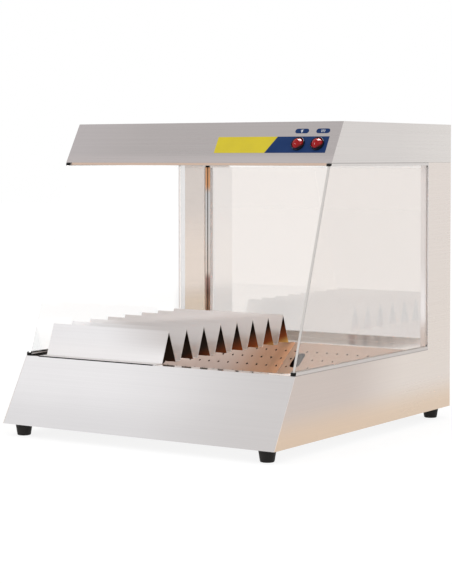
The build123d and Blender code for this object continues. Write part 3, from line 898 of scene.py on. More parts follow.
@dataclass
class Casing:
    """Outer sheets: base sides with their columns, base front, hood and rear panels."""

    edge: float = 0.45 * MM

    def finishes(self) -> dict[str, Material]:
        """Steel of each outer sheet.

        Returns:
            The materials, by sheet.
        """
        # Painted light and reflection: the side's faces differ by the way they look, darker towards the
        # front, warm peach at its foot and a little lighter high up.
        side = BrushedSteel(
            "steel_base_side",
            srgb(224, 217, 211),
            painted_facing_tones=((SIDE, srgb(227, 217, 209)), (TOP, srgb(225, 220, 215)), (FRONT, srgb(228, 226, 226))),
            painted_drifts=(
                PaintedDrift(SIDE, (0, -1, 0), -0.16, 0.10, srgb(206, 194, 187)),
                PaintedDrift(SIDE, DOWN, -0.09, -0.03, srgb(224, 200, 175), 0.85),
                PaintedDrift(SIDE, UP, 0.15, 0.40, srgb(228, 219, 213), 0.6),
            ),
            roughness=0.3,
            grain=0.6,
        )
        # Painted light: the front face lighter than the rest, darker low down and towards the right.
        front = BrushedSteel(
            "steel_base_front",
            srgb(226, 224, 224),
            painted_facing_tones=((FRONT, srgb(236, 234, 235)),),
            painted_drifts=(
                PaintedDrift(FRONT, DOWN, -0.10, -0.03, srgb(224, 222, 223)),
                PaintedDrift(FRONT, RIGHT, -0.10, 0.27, srgb(205, 201, 200), 0.9),
            ),
            roughness=0.33,
            grain=0.6,
        )
        # Painted light and shade: the hood's sloping face darker than its top and sides, a little lighter
        # towards the left and at its foot, the sides lighter towards the back.
        hood = BrushedSteel(
            "steel_hood",
            srgb(196, 190, 190),
            painted_facing_tones=((TOP, srgb(214, 211, 210)), (FRONT, srgb(179, 173, 172)), (SIDE, srgb(216, 211, 208))),
            painted_drifts=(
                PaintedDrift(FRONT, (-1, 0, 0), 0.10, 0.30, srgb(184, 178, 178)),
                PaintedDrift(FRONT, DOWN, -0.512, -0.496, srgb(188, 181, 180)),
                PaintedDrift(SIDE, (0, 1, 0), 0.05, 0.32, srgb(222, 217, 213)),
            ),
            roughness=0.3,
        )
        rear = BrushedSteel("steel_rear", srgb(200, 197, 195), roughness=0.34)
        steels = {"side": side, "front": front, "hood": hood, "rear": rear}
        return {key: steel.material() for key, steel in steels.items()}

    def build(self) -> None:
        """Stand the outer sheets."""
        steel = self.finishes()
        for node, key in (
            ("side_panel_left", "side"),
            ("side_panel_right", "side"),
            ("base_front_panel", "front"),
            ("hood_shell", "hood"),
            ("base_rear_panel", "rear"),
            ("hood_rear_panel", "rear"),
        ):
            softened(node, steel[key], self.edge)
        dress("bottom_plate", steel["rear"])


@dataclass
class Columns:
    """Inner skins of the two rear columns."""

    edge: float = 0.4 * MM

    def skin(self, hand: str, front: Colour, painted_drifts: tuple[PaintedDrift, ...] = ()) -> None:
        """Stand one skin.

        Args:
            hand: left or right.
            front: Tone of the faces that look forwards, painted light.
            painted_drifts: Its painted light low down.
        """
        liner = BrushedSteel(
            f"steel_column_liner_{hand}",
            srgb(226, 219, 213),
            painted_facing_tones=((SIDE, srgb(230, 225, 222)), (FRONT, front)),
            painted_drifts=painted_drifts,
            roughness=0.16,
            grain=0.6,
        ).material()
        softened(f"column_liner_{hand}", liner, self.edge)

    def build(self) -> None:
        """Stand both skins; the left one is painted paler and warm low down, the right one paler low on its
        front: painted light.
        """
        # Painted warm light low on the left skin.
        painted_warm_light = (
            PaintedDrift(SIDE, DOWN, -0.42, -0.30, srgb(246, 237, 229)),
            PaintedDrift(SIDE, DOWN, -0.24, -0.20, srgb(255, 238, 216), 0.7),
        )
        self.skin("left", srgb(229, 228, 228), painted_warm_light)
        # Painted light low on the right skin's front.
        painted_pale_light = (PaintedDrift(FRONT, DOWN, -0.32, -0.19, srgb(252, 249, 250)),)
        self.skin("right", srgb(226, 218, 215), painted_pale_light)


# ---- glazing


@dataclass
class Glazing:
    """Side and rear panes with their channels, seals, dark corner beads of painted shade, glowing beds of
    painted light and end plugs.

    Attributes:
        rear_lip: Width of the rear posts' lip.
        seal_inset: Where the rear seal's inner line lies in the channel.
        seal_back: Where that line is drawn back to, behind the lip.
        bead: Width of the dark bead in each rear corner, painted shade.
        plug: Depth of the channels' end plugs.
        bed_inner: Depth of the silicone inside a side pane; bed_outer is that outside it.
        bed_front: Its distance behind the column's flange.
        bed_back: Its reach past the pane; bed_ends is its distance from the pane's ends.
    """

    edge: float = 0.6 * MM
    channel_edge: float = 0.35 * MM
    seal_edge: float = 0.2 * MM
    rear_lip: float = 6.0 * MM
    seal_inset: float = 0.6 * MM
    seal_back: float = 3.4 * MM
    bead: float = 0.6 * MM
    plug: float = 3.4 * MM
    plug_inset: float = 1.4 * MM
    plug_proud: float = 1.0 * MM
    plug_foot: float = 0.2 * MM
    plug_head: float = 1.2 * MM
    bed_inner: float = 1.8 * MM
    bed_outer: float = 1.7 * MM
    bed_gap: float = 0.1 * MM
    bed_front: float = 1.4 * MM
    bed_back: float = 5.0 * MM
    bed_ends: float = 7.0 * MM

    def build(self) -> None:
        """Stand the panes, channels and seals."""
        sheen = srgb(236, 228, 222)
        # The right pane's greyer tint is painted reflection, a grey veil over what lies behind it; the left
        # pane is near clear.
        sides = {
            "left": ClearGlass("glass_left", srgb(255, 254, 253), 1.8, sheen).material(),
            "right": ClearGlass("glass_right", srgb(243, 240, 238), 1.8, sheen).material(),
        }
        # Painted light and shade on the rims: the left ones near white and glowing, the right ones greyer
        # and glowing little or not at all.
        hidden = {
            hand: GlassEdge(f"glass_edge_hidden_{hand}", colour, second, lit).material()
            for hand, colour, second, lit in (
                ("left", srgb(236, 234, 232), srgb(242, 240, 238), 0.7),
                ("right", srgb(190, 184, 181), srgb(196, 190, 187), 0.3),
            )
        }
        rear = ClearGlass("glass_rear", srgb(229, 223, 219), 2.4, srgb(255, 240, 228)).material()
        rims = {
            hand: GlassEdge(f"glass_edge_{hand}", colour, second, lit).material()
            for hand, colour, second, lit in (
                ("left", srgb(250, 249, 248), srgb(252, 251, 250), 0.9),
                ("right", srgb(208, 203, 199), srgb(216, 211, 207), 0.0),
            )
        }
        # Painted reflections of the warm lamps on the rear posts: orange near the top, and lower down a
        # pale band, a dark red band and a peach band; the facings differ by painted light.
        post = BrushedSteel(
            "steel_rear_post",
            srgb(196, 193, 191),
            painted_facing_tones=((SIDE, srgb(214, 211, 210)), (FRONT, srgb(222, 224, 226))),
            painted_drifts=(
                PaintedDrift(FRONT, UP, 0.425, 0.445, srgb(236, 164, 92), 0.8),
                PaintedDrift(FRONT, DOWN, -0.34, -0.27, srgb(226, 216, 210), 0.7),
                PaintedDrift(FRONT, DOWN, -0.265, -0.245, srgb(140, 86, 78), 0.7),
                PaintedDrift(FRONT, DOWN, -0.225, -0.195, srgb(224, 200, 190), 0.9),
            ),
            roughness=0.1,
            grain=0.3,
        ).material()
        # Painted highlight: the rail's front face near white, its top lighter than the rest.
        rail = BrushedSteel(
            "steel_rear_rail",
            srgb(214, 211, 209),
            painted_facing_tones=((FRONT, srgb(255, 253, 251)), (TOP, srgb(240, 237, 235))),
            roughness=0.1,
            grain=0.3,
        ).material()
        # Painted shade and light on the right channels, in bands by height: dark at the foot, a darker then
        # a lighter band along the bottom channel, dark again near the hood.
        right_channel = BrushedSteel(
            "steel_channel_right",
            srgb(206, 202, 199),
            painted_facing_tones=((SIDE, srgb(202, 195, 191)), (FRONT, srgb(196, 192, 189)), (TOP, srgb(206, 200, 196))),
            painted_drifts=(
                PaintedDrift(SIDE, DOWN, -0.1399, -0.1394, srgb(165, 158, 153)),
                PaintedDrift(SIDE, UP, 0.1445, 0.1448, srgb(186, 180, 175)),
                PaintedDrift(SIDE, UP, 0.1460, 0.1462, srgb(214, 209, 206)),
                PaintedDrift(SIDE, UP, 0.4915, 0.4919, srgb(150, 144, 140)),
            ),
            roughness=0.2,
            grain=0.6,
        )
        # Painted shade: the left channels are dark steel, light only on their sides, with dark lines at the
        # foot and top.
        left_channel = BrushedSteel(
            "steel_channel_left",
            srgb(60, 58, 57),
            painted_facing_tones=((SIDE, srgb(214, 213, 213)), (FRONT, srgb(40, 39, 38)), (TOP, srgb(60, 58, 57))),
            painted_drifts=(
                PaintedDrift(SIDE, DOWN, -0.1418, -0.1412, srgb(30, 29, 28)),
                PaintedDrift(SIDE, UP, 0.1436, 0.1441, srgb(38, 37, 36)),
                PaintedDrift(SIDE, UP, 0.1460, 0.1462, srgb(214, 209, 206)),
            ),
            roughness=0.25,
            grain=0.6,
            metallic=0.4,
        )
        channels = {"left": left_channel.material(), "right": right_channel.material()}
        # The side seals' pale grey is partly their own colour and partly painted light, lifted against the
        # shade of their recess.
        grey = silicone("silicone_seal", srgb(206, 204, 202), srgb(216, 214, 212))
        # Dark rubber for the end plugs, and painted shade for the corner beads.
        black = dark_rubber_and_shadow("rubber_seal", srgb(20, 20, 20))
        for hand in ("left", "right"):
            pane = softened(f"side_glass_{hand}", sides[hand], self.edge)
            self.polish(pane, rims[hand], 0, hidden[hand])
            dress(f"side_seals_{hand}", grey)
            for end in ("bottom", "top"):
                softened(f"side_channel_{end}_{hand}", channels[hand], self.channel_edge)
        self.polish(softened("rear_glass", rear, self.edge), rims["right"], 1)
        low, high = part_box("rear_channel_right")
        # Painted light: the rear seal is near white, lifted against the shade in its channel, and glows
        # faintly warm.
        warm = (1.0, 0.97, 0.95)
        pale = silicone("silicone_rear_seal", srgb(240, 238, 236), srgb(246, 244, 242), 0.2, warm)
        seal = softened("rear_seal", pale, self.seal_edge)
        slide(seal, 0, low.x + self.seal_inset, high.x - self.rear_lip - self.seal_back)
        for end in ("bottom", "top", "left", "right"):
            upright = end in ("left", "right")
            piece = softened(f"rear_channel_{end}", post if upright else rail, self.channel_edge)
            if upright:
                slide(piece, 0, low.x, high.x - self.rear_lip)
        self.shadow_bead(black)
        self.plugs(black)
        self.backing()

    def backing(self) -> None:
        """Bed the rear end of each side pane in pale silicone that glows, behind the column's flange; the
        glow is painted light.
        """
        for (hand, sign), lit in zip(HANDS, (0.5, 0.16)):
            name = f"silicone_clear_{hand}"
            # Painted light: the beds glow, the left more than the right.
            clear = silicone(name, srgb(238, 236, 234), srgb(244, 242, 240), lit, (1.0, 0.98, 0.97))
            shell = bmesh.new()
            low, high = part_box(f"side_glass_{hand}")
            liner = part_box(f"column_liner_{hand}")[0]
            inner, outer = sorted((abs(low.x), abs(high.x)))
            for start, end in (
                (inner - self.bed_inner, inner - self.bed_gap),
                (outer + self.bed_gap, outer + self.bed_outer),
            ):
                edges = sorted((sign * start, sign * end))
                block(
                    Vector((edges[0], liner.y + self.bed_front, low.z + self.bed_ends)),
                    Vector((edges[1], high.y + self.bed_back, high.z - self.bed_ends)),
                    shell,
                )
            name = f"pane_backing_{hand}"
            place(mesh_from(shell, name, clear), name, "cabinet")

    def shadow_bead(self, rubber: Material) -> None:
        """Run a dark bead up each rear corner, between the column's skin and the channel: painted shade for
        the gap there.

        Args:
            rubber: Its finish.
        """
        shell = bmesh.new()
        for hand, sign in HANDS:
            low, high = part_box(f"rear_channel_{hand}")
            outer = max(abs(low.x), abs(high.x))
            edges = sorted((sign * outer, sign * (outer - self.bead)))
            block(Vector((edges[0], low.y - self.bead, low.z)), Vector((edges[1], low.y, high.z)), shell)
        place(mesh_from(shell, "corner_sealant", rubber), "corner_sealant", "cabinet")

    def plugs(self, rubber: Material) -> None:
        """Close the open ends of the channels and the rear top corners with small dark plugs.

        Args:
            rubber: Their finish.
        """
        shell = bmesh.new()
        for hand, sign in HANDS:
            for end in ("bottom", "top"):
                low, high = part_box(f"side_channel_{end}_{hand}")
                block(
                    Vector((low.x + self.plug_inset, low.y - self.plug_proud, low.z + self.plug_foot)),
                    Vector((high.x - self.plug_inset, low.y + self.plug, high.z - self.plug_head)),
                    shell,
                )
            low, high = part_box(f"rear_channel_{hand}")
            outer = max(abs(low.x), abs(high.x))
            edges = sorted((sign * outer, sign * (outer - self.plug)))
            block(
                Vector((edges[0], low.y - self.plug, high.z)),
                Vector((edges[1], low.y, high.z + self.plug)),
                shell,
            )
        place(mesh_from(shell, "channel_plugs", rubber), "channel_plugs", "cabinet")

    def polish(self, pane: Piece, rim: Material, axis: int, hidden: Material | None = None) -> None:
        """Give the rim of a pane, all that doesn't face along the axis, its own finish.

        Args:
            pane: The pane.
            rim: Finish of the rim.
            axis: The axis that its two faces look along.
            hidden: Finish of the rear end of the rim, where it differs.
        """
        square = 0.9
        pane.data.materials.append(rim)
        pane.data.materials.append(hidden or rim)
        for face in pane.data.polygons:
            if abs(face.normal[axis]) > square:
                face.material_index = 0
            else:
                face.material_index = 2 if face.normal.y > square else 1


# ---- well and drain plates


class PerforatedBlank(GeometryBoard):
    """A flat sheet inside an outline, punched with a grid of round holes and one long slot."""

    def __init__(self) -> None:
        """Wire the group."""
        super().__init__(
            "perforated_blank",
            {
                "Outline": OBJECT_IN,
                "Pitch": FLOAT_IN,
                "Hole Radius": FLOAT_IN,
                "Columns": INT_IN,
                "Rows": INT_IN,
                "Grid Centre": VECTOR_IN,
                "Slot Centre": VECTOR_IN,
                "Slot Width": FLOAT_IN,
                "Slot Length": FLOAT_IN,
                "Finish": MATERIAL_IN,
            },
        )
        given = self.given
        edge = self.add("GeometryNodeObjectInfo", {"Object": given["Outline"]})
        outline = self.out("GeometryNodeMeshToCurve", {"Mesh": edge.outputs["Geometry"]})
        spans = [
            self.maths("MULTIPLY", self.maths("SUBTRACT", given[count], 1.0), given["Pitch"])
            for count in ("Columns", "Rows")
        ]
        grid = self.out(
            "GeometryNodeMeshGrid",
            {
                "Size X": spans[0],
                "Size Y": spans[1],
                "Vertices X": given["Columns"],
                "Vertices Y": given["Rows"],
            },
        )
        clear = self.near_slot(self.moved(grid, given["Grid Centre"]))
        hole = self.out(
            "GeometryNodeCurvePrimitiveCircle", {"Resolution": 12, "Radius": given["Hole Radius"]}
        )
        holes = self.out("GeometryNodeInstanceOnPoints", {"Points": clear, "Instance": hole})
        real = self.out("GeometryNodeRealizeInstances", {"Geometry": holes})
        joined = self.add("GeometryNodeJoinGeometry")
        for part in (outline, real, self.slot_curve()):
            self.tree.links.new(part, joined.inputs[0])
        filled = self.out("GeometryNodeFillCurve", {"Curve": joined.outputs[0]})
        self.close(filled, given["Finish"])

    def near_slot(self, points: Socket) -> Socket:
        """Drop the grid points that the slot would run into.

        Args:
            points: The grid.

        Returns:
            The points that stay.
        """
        spot = self.out("GeometryNodeInputPosition")
        gap = self.out(
            "ShaderNodeVectorMath",
            {0: spot, 1: self.given["Slot Centre"]},
            operation="SUBTRACT",
        )
        split = self.add("ShaderNodeSeparateXYZ", {0: gap})
        reach = self.maths("MULTIPLY", self.given["Hole Radius"], 1.6)
        near = [
            self.maths(
                "LESS_THAN",
                self.maths("ABSOLUTE", split.outputs[axis]),
                self.maths("ADD", self.maths("MULTIPLY", self.given[size], 0.5), reach),
            )
            for axis, size in ((0, "Slot Width"), (1, "Slot Length"))
        ]
        both = self.maths("MULTIPLY", *near)
        cut = self.out(
            "GeometryNodeDeleteGeometry",
            {"Geometry": points, "Selection": self.maths("GREATER_THAN", both, 0.5)},
            domain="POINT",
        )
        return cut

    def slot_curve(self) -> Socket:
        """Draw the slot's outline, a rectangle with round ends.

        Returns:
            The closed curve.
        """
        box = self.out(
            "GeometryNodeCurvePrimitiveQuadrilateral",
            {"Width": self.given["Slot Width"], "Height": self.given["Slot Length"]},
        )
        round_ends = self.out(
            "GeometryNodeFilletCurve",
            {"Curve": box, "Count": 8, "Radius": self.maths("MULTIPLY", self.given["Slot Width"], 0.495)},
            mode="POLY",
        )
        return self.moved(round_ends, self.given["Slot Centre"])


@dataclass
class DrainPlate:
    """One loose plate: front ramp, floor and rear ramp folded from a punched blank.

    Attributes:
        side: left or right.
        body: The body it rides on.
        slot_from_edge: Distance of the finger slot from the plate's lower X.
        slot_rise: Distance of its middle up the rear ramp.
        sheet: Thickness of the sheet.
        pitch: Distance between holes.
        seam: X that the grid of holes is set out from.
        corner: Radius of the outer corners.
    """

    side: str
    body: str
    slot_from_edge: float = 25.8 * MM
    slot_rise: float = 64.0 * MM
    slot_width: float = 18.0 * MM
    slot_length: float = 42.0 * MM
    sheet: float = 1.2 * MM
    ramp_angle: float = math.radians(35.7)
    pitch: float = 22.4 * MM
    hole_radius: float = 2.3 * MM
    seam: float = 10.0 * MM
    corner: float = 17.5 * MM

    def __post_init__(self) -> None:
        """Work out the blank's levels from the CAD node."""
        low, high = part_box(f"drain_plate_{self.side}")
        self.low_x, self.high_x = low.x, high.x
        self.front, self.back = low.y, high.y
        self.top = high.z
        self.floor = low.z + self.sheet
        rise = self.top - self.floor
        self.run = rise / math.tan(self.ramp_angle)
        self.ramp = rise / math.sin(self.ramp_angle)
        self.flat = self.back - self.front - 2 * self.run

    def folded(self, x: float, reach: float) -> Vector:
        """Where a point of the flat blank lies once the ramps are folded up.

        Args:
            x: The point's X.
            reach: Its distance along the blank from the front edge.

        Returns:
            The point on the plate's upper face.
        """
        lean_y, lean_z = math.cos(self.ramp_angle), math.sin(self.ramp_angle)
        if reach <= self.ramp:
            return Vector((x, self.front + reach * lean_y, self.top - reach * lean_z))
        if reach <= self.ramp + self.flat:
            return Vector((x, self.front + self.run + reach - self.ramp, self.floor))
        up = reach - self.ramp - self.flat
        return Vector((x, self.back - self.run + up * lean_y, self.floor + up * lean_z))

    def corners(self, start: float, length: float, rounded_end: int) -> list[Point]:
        """Outline of one of the three areas, its outer corner following the well's.

        Args:
            start: Reach at which the area starts.
            length: Its length.
            rounded_end: -1 rounds the front end, 1 the rear end and 0 neither.

        Returns:
            The outline's points, in order.
        """
        end = start + length
        outer, inner = (self.low_x, self.high_x) if self.side == "left" else (self.high_x, self.low_x)
        inward = 1 if self.side == "left" else -1
        if rounded_end == 0:
            return [(inner, start), (inner, end), (outer, end), (outer, start)]
        edge, other = (start, end) if rounded_end < 0 else (end, start)
        stretch = self.corner / math.cos(self.ramp_angle)
        bow = [
            (
                outer + inward * self.corner * (1 - math.sin(turn)),
                edge - rounded_end * stretch * (1 - math.cos(turn)),
            )
            for turn in [math.pi / 2 * step / 6 for step in range(7)]
        ]
        return [(outer, other), *bow[::-1], (inner, edge), (inner, other)]

    def outline(self, points: list[Point]) -> Piece:
        """Draw a loop of edges through the blank's corners.

        Args:
            points: The corners, in order.

        Returns:
            The loop.
        """
        mesh = bpy.data.meshes.new(f"outline_{self.side}")
        loop = [(here, (here + 1) % len(points)) for here in range(len(points))]
        mesh.from_pydata([(x, y, 0) for x, y in points], loop, [])
        return stand(mesh.name, mesh)

    def grid(self, rows: int, first: float) -> tuple[int, Vector]:
        """Set out the holes of an area.

        Args:
            rows: Number of rows.
            first: Reach of the first row.

        Returns:
            The number of columns, and the middle of the grid.
        """
        half = self.pitch / 2
        start = math.ceil((self.low_x + 2 * self.hole_radius - self.seam - half) / self.pitch)
        stop = math.floor((self.high_x - 2 * self.hole_radius - self.seam - half) / self.pitch)
        middle = self.seam + half + (start + stop) / 2 * self.pitch
        return stop - start + 1, Vector((middle, first + (rows - 1) / 2 * self.pitch, 0))

    def build(self, blank: PerforatedBlank, finish: Material) -> Piece:
        """Punch, fold and thicken the plate.

        Args:
            blank: The punching tree.
            finish: The plate's steel.

        Returns:
            The plate.
        """
        ramp_rows = int((self.ramp - self.pitch / 2) // self.pitch)
        floor_rows = int(self.flat // self.pitch)
        floor_first = self.ramp + (self.flat - (floor_rows - 1) * self.pitch) / 2
        bend = self.ramp + self.flat
        slot = Vector((self.low_x + self.slot_from_edge, bend + self.slot_rise, 0))
        away = Vector((1.0, 1.0, 0.0))
        areas = (
            (0.0, self.ramp, -1, ramp_rows, self.ramp - ramp_rows * self.pitch, away),
            (self.ramp, self.flat, 0, floor_rows, floor_first, away),
            (bend, self.ramp, 1, ramp_rows, bend + self.pitch, slot),
        )
        plate = bmesh.new()
        for start, length, rounded_end, rows, first, slot_at in areas:
            outline = self.outline(self.corners(start, length, rounded_end))
            columns, centre = self.grid(rows, first)
            flat = blank.make(
                f"blank_{self.side}",
                {
                    "Outline": outline,
                    "Pitch": self.pitch,
                    "Hole Radius": self.hole_radius,
                    "Columns": columns,
                    "Rows": rows,
                    "Grid Centre": centre,
                    "Slot Centre": slot_at,
                    "Slot Width": self.slot_width,
                    "Slot Length": self.slot_length,
                    "Finish": finish,
                },
            )
            area = bmesh.new()
            area.from_mesh(flat.data)
            self.drop_islands(area)
            area.to_mesh(flat.data)
            area.free()
            plate.from_mesh(flat.data)
            bpy.data.objects.remove(flat)
            bpy.data.objects.remove(outline)
        bmesh.ops.remove_doubles(plate, verts=plate.verts, dist=WELD)
        for vertex in plate.verts:
            vertex.co = self.folded(vertex.co.x, vertex.co.y)
        face_up(plate)
        mesh = bpy.data.meshes.new(f"perforated_plate_{self.side}")
        plate.to_mesh(mesh)
        plate.free()
        mesh.materials.clear()
        mesh.materials.append(finish)
        piece = place(mesh, mesh.name, self.body, (f"drain_plate_{self.side}",))
        folded_wall(piece, self.sheet)
        return piece

    def drop_islands(self, area: Shell) -> None:
        """Remove faces that lie outside the plate, such as the fill of an unused slot.

        Args:
            area: The filled area.
        """
        slack = 0.01 * MM
        stray = [
            face
            for face in area.faces
            if not self.low_x - slack < face.calc_center_median().x < self.high_x + slack
        ]
        bmesh.ops.delete(area, geom=stray, context="FACES")


@dataclass
class Well:
    """Deck, tank, rails and the two perforated drain plates."""

    def build(self) -> None:
        """Stand the deck and everything that hangs in it."""
        # Painted light on the deck: its top lighter than its sides, with near-white bands along the rear
        # ledge.
        deck = BrushedSteel(
            "steel_deck",
            srgb(206, 198, 190),
            painted_facing_tones=((TOP, srgb(232, 224, 218)), (SIDE, srgb(206, 196, 188))),
            painted_drifts=(
                PaintedDrift(TOP, (0, 1, 0), 0.200, 0.215, srgb(255, 253, 251)),
                PaintedDrift(TOP, (0, 1, 0), 0.250, 0.254, srgb(255, 248, 244)),
            ),
            roughness=0.06,
            grain=0.3,
            metallic=0.8,
        ).material()
        # Painted shade: the tank and rails are dark brown steel, for the shade under the plates.
        tank = BrushedSteel("steel_tank", srgb(84, 74, 68), roughness=0.35, metallic=0.6).material()
        # Painted warm light and shade on the plates: lighter on top, greyer low down, warm towards the
        # right, darker just left of the seam and lighter past it.
        plate = BrushedSteel(
            "steel_drain_plate",
            srgb(206, 190, 178),
            painted_facing_tones=((TOP, srgb(222, 206, 195)),),
            painted_drifts=(
                PaintedDrift(TOP, DOWN, -0.13, -0.08, srgb(206, 192, 184)),
                PaintedDrift(TOP, RIGHT, -0.13, -0.03, srgb(200, 163, 136)),
                PaintedDrift(TOP, RIGHT, -0.026, -0.012, srgb(184, 149, 122)),
                PaintedDrift(TOP, RIGHT, 0.008, 0.011, srgb(214, 201, 192)),
            ),
            roughness=0.24,
            grain=0.3,
            metallic=0.3,
        ).material()
        softened("deck_plate", deck, 0.4 * MM)
        softened("well_pan", tank, 0.5 * MM)
        for node in ("plate_rail_front", "plate_rail_rear"):
            dress(node, tank)
        blank = PerforatedBlank()
        for side in ("left", "right"):
            DrainPlate(side, f"{side}_plate").build(blank, plate)


# ---- divider rack


class FoldedRidges(GeometryBoard):
    """A sheet folded into hollow ridges: the line of its upper face, drawn out along X."""

    def __init__(self) -> None:
        """Wire the group."""
        super().__init__(
            "folded_ridges",
            {
                "Count": INT_IN,
                "Pitch": FLOAT_IN,
                "Foot": FLOAT_IN,
                "Height": FLOAT_IN,
                "Front Reach": FLOAT_IN,
                "Rear Reach": FLOAT_IN,
                "Width": FLOAT_IN,
                "Start": VECTOR_IN,
                "Finish": MATERIAL_IN,
            },
        )
        given = self.given
        points = self.maths("MULTIPLY_ADD", given["Count"], 3.0, 2.0)
        line = self.out("GeometryNodeMeshLine", {"Count": points})
        index = self.out("GeometryNodeInputIndex")
        before = self.maths("SUBTRACT", index, 1.0)
        ridge = self.maths("FLOOR", self.maths("DIVIDE", before, 3.0))
        step = self.maths("SUBTRACT", before, self.maths("MULTIPLY", ridge, 3.0))
        along = self.maths(
            "ADD",
            self.maths("MULTIPLY", ridge, given["Pitch"]),
            self.maths("MULTIPLY", self.maths("MULTIPLY", step, 0.5), given["Foot"]),
        )
        is_crest = self.maths("COMPARE", step, 1.0, 0.1)
        is_first = self.maths("LESS_THAN", index, 0.5)
        is_last = self.maths("GREATER_THAN", index, self.maths("SUBTRACT", points, 1.5))
        tail = self.maths(
            "ADD",
            self.maths("MULTIPLY", self.maths("SUBTRACT", given["Count"], 1.0), given["Pitch"]),
            self.maths("ADD", given["Foot"], given["Rear Reach"]),
        )
        along = self.choose(is_first, along, self.maths("MULTIPLY", given["Front Reach"], -1.0))
        along = self.choose(is_last, along, tail)
        flat = self.maths("MAXIMUM", is_first, is_last)
        crest = self.maths("MULTIPLY", is_crest, given["Height"])
        rise = self.maths("MULTIPLY", crest, self.maths("SUBTRACT", 1.0, flat))
        spot = self.out("ShaderNodeCombineXYZ", {1: along, 2: rise})
        start = self.out("ShaderNodeVectorMath", {0: spot, 1: given["Start"]}, operation="ADD")
        bent = self.out("GeometryNodeSetPosition", {"Geometry": line, "Position": start})
        width = self.out("ShaderNodeCombineXYZ", {0: given["Width"]})
        drawn = self.out(
            "GeometryNodeExtrudeMesh",
            {"Mesh": bent, "Offset": width, "Offset Scale": 1.0},
            mode="EDGES",
        )
        self.close(drawn, given["Finish"])

    def choose(self, test: Level, otherwise: Level, value: Level) -> Socket:
        """One value where the test is 1, another where it is 0."""
        kept = self.maths("MULTIPLY", otherwise, self.maths("SUBTRACT", 1.0, test))
        return self.maths("MULTIPLY_ADD", value, test, kept)


@dataclass
class DividerRack:
    """Loose rack of hollow ridges that hold the portions apart.

    Attributes:
        count: Number of ridges.
        pitch: Distance between them.
        foot: Width of a ridge at its foot.
        front_reach: Sheet before the first ridge; rear_reach is that behind the last.
        shadow_gap_reach: Reach of the dark strip before the front foot, painted shade for the gap under it.
        shadow_gap_lap: Height of its joint over the foot's underside.
        shadow_gap_drop: Depth of its lip under the foot.
    """

    count: int = 8
    pitch: float = 55.4 * MM
    foot: float = 41.8 * MM
    front_reach: float = 22.5 * MM
    rear_reach: float = 30.0 * MM
    sheet: float = 1.0 * MM
    edge: float = 0.3 * MM
    shadow_gap_reach: float = 2.7 * MM
    shadow_gap_left: float = 1.0 * MM
    shadow_gap_right: float = 3.0 * MM
    shadow_gap_lap: float = 0.1 * MM
    shadow_gap_drop: float = 1.2 * MM
    shadow_gap_lip: float = 0.9 * MM

    def build(self) -> None:
        """Fold the rack."""
        low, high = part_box("divider_rack")
        # Painted light and shade on the rack: front faces lighter, back faces warmer and darker, front
        # faces darker towards the right and back, lighter low down.
        steel = BrushedSteel(
            "steel_rack",
            srgb(224, 222, 222),
            painted_facing_tones=((TOP, srgb(226, 223, 221)), (FRONT, srgb(238, 236, 237)), (BACK, srgb(215, 207, 200))),
            painted_drifts=(
                PaintedDrift(FRONT, (0.55, 0.83, 0), -0.27, -0.15, srgb(203, 197, 195)),
                PaintedDrift(FRONT, DOWN, -0.180, -0.142, srgb(242, 239, 239)),
            ),
            roughness=0.32,
            grain=0.6,
            metallic=0.75,
        ).material()
        # Painted light: the rack's underside is near black and glows orange to pale yellow towards the
        # right, the back and the bottom, for the lamps' light in the hollows.
        painted_glow_underside = BrushedSteel(
            "steel_rack_underside",
            srgb(32, 26, 22),
            painted_drifts=tuple(
                PaintedDrift(facing, (0.9, 0.22, -2.2), start, end, colour)
                for facing, start, end, colour in (
                    (FRONT, -0.375, -0.282, srgb(172, 92, 36)),
                    (FRONT, -0.302, -0.266, srgb(255, 226, 142)),
                    (BACK, -0.375, -0.282, srgb(156, 80, 32)),
                    (BACK, -0.302, -0.266, srgb(255, 216, 130)),
                )
            ),
            roughness=0.3,
            grain=0.4,
            metallic=0.35,
        ).material()
        rack = FoldedRidges().make(
            "folded_rack",
            {
                "Count": self.count,
                "Pitch": self.pitch,
                "Foot": self.foot,
                "Height": high.z - low.z - self.sheet,
                "Front Reach": self.front_reach,
                "Rear Reach": self.rear_reach,
                "Width": high.x - low.x,
                "Start": Vector((low.x, low.y + self.front_reach, low.z + self.sheet)),
                "Finish": steel,
            },
        )
        upwards = bmesh.new()
        upwards.from_mesh(rack.data)
        face_up(upwards)
        upwards.to_mesh(rack.data)
        upwards.free()
        rack.data.materials.append(painted_glow_underside)
        adopt(rack, "rack", ("divider_rack",))
        folded_wall(rack, self.sheet).material_offset = 1
        bevelled(rack, self.edge)
        self.shadow_gap_strip(low, high)

    def shadow_gap_strip(self, low: Vector, high: Vector) -> None:
        """Lay a dark strip along the front foot, its lip over the deck's front edge: painted shade for the
        gap under the foot.

        Args:
            low: Lowest corner of the rack's box.
            high: Highest corner of the rack's box.
        """
        # Painted shade: a near-black strip for the shadow gap under the rack's front foot.
        rubber = dark_rubber_and_shadow("rubber_edging", srgb(22, 22, 22))
        left, right = low.x + self.shadow_gap_left, high.x - self.shadow_gap_right
        front, joint = low.y - self.shadow_gap_reach, low.z + self.shadow_gap_lap
        shell = bmesh.new()
        block(Vector((left, front, joint)), Vector((right, low.y, low.z + self.sheet)), shell)
        block(
            Vector((left, front, low.z - self.shadow_gap_drop)),
            Vector((right, front + self.shadow_gap_lip, joint)),
            shell,
        )
        place(mesh_from(shell, "rack_edging", rubber), "rack_edging", "rack")


# ---- hood fittings


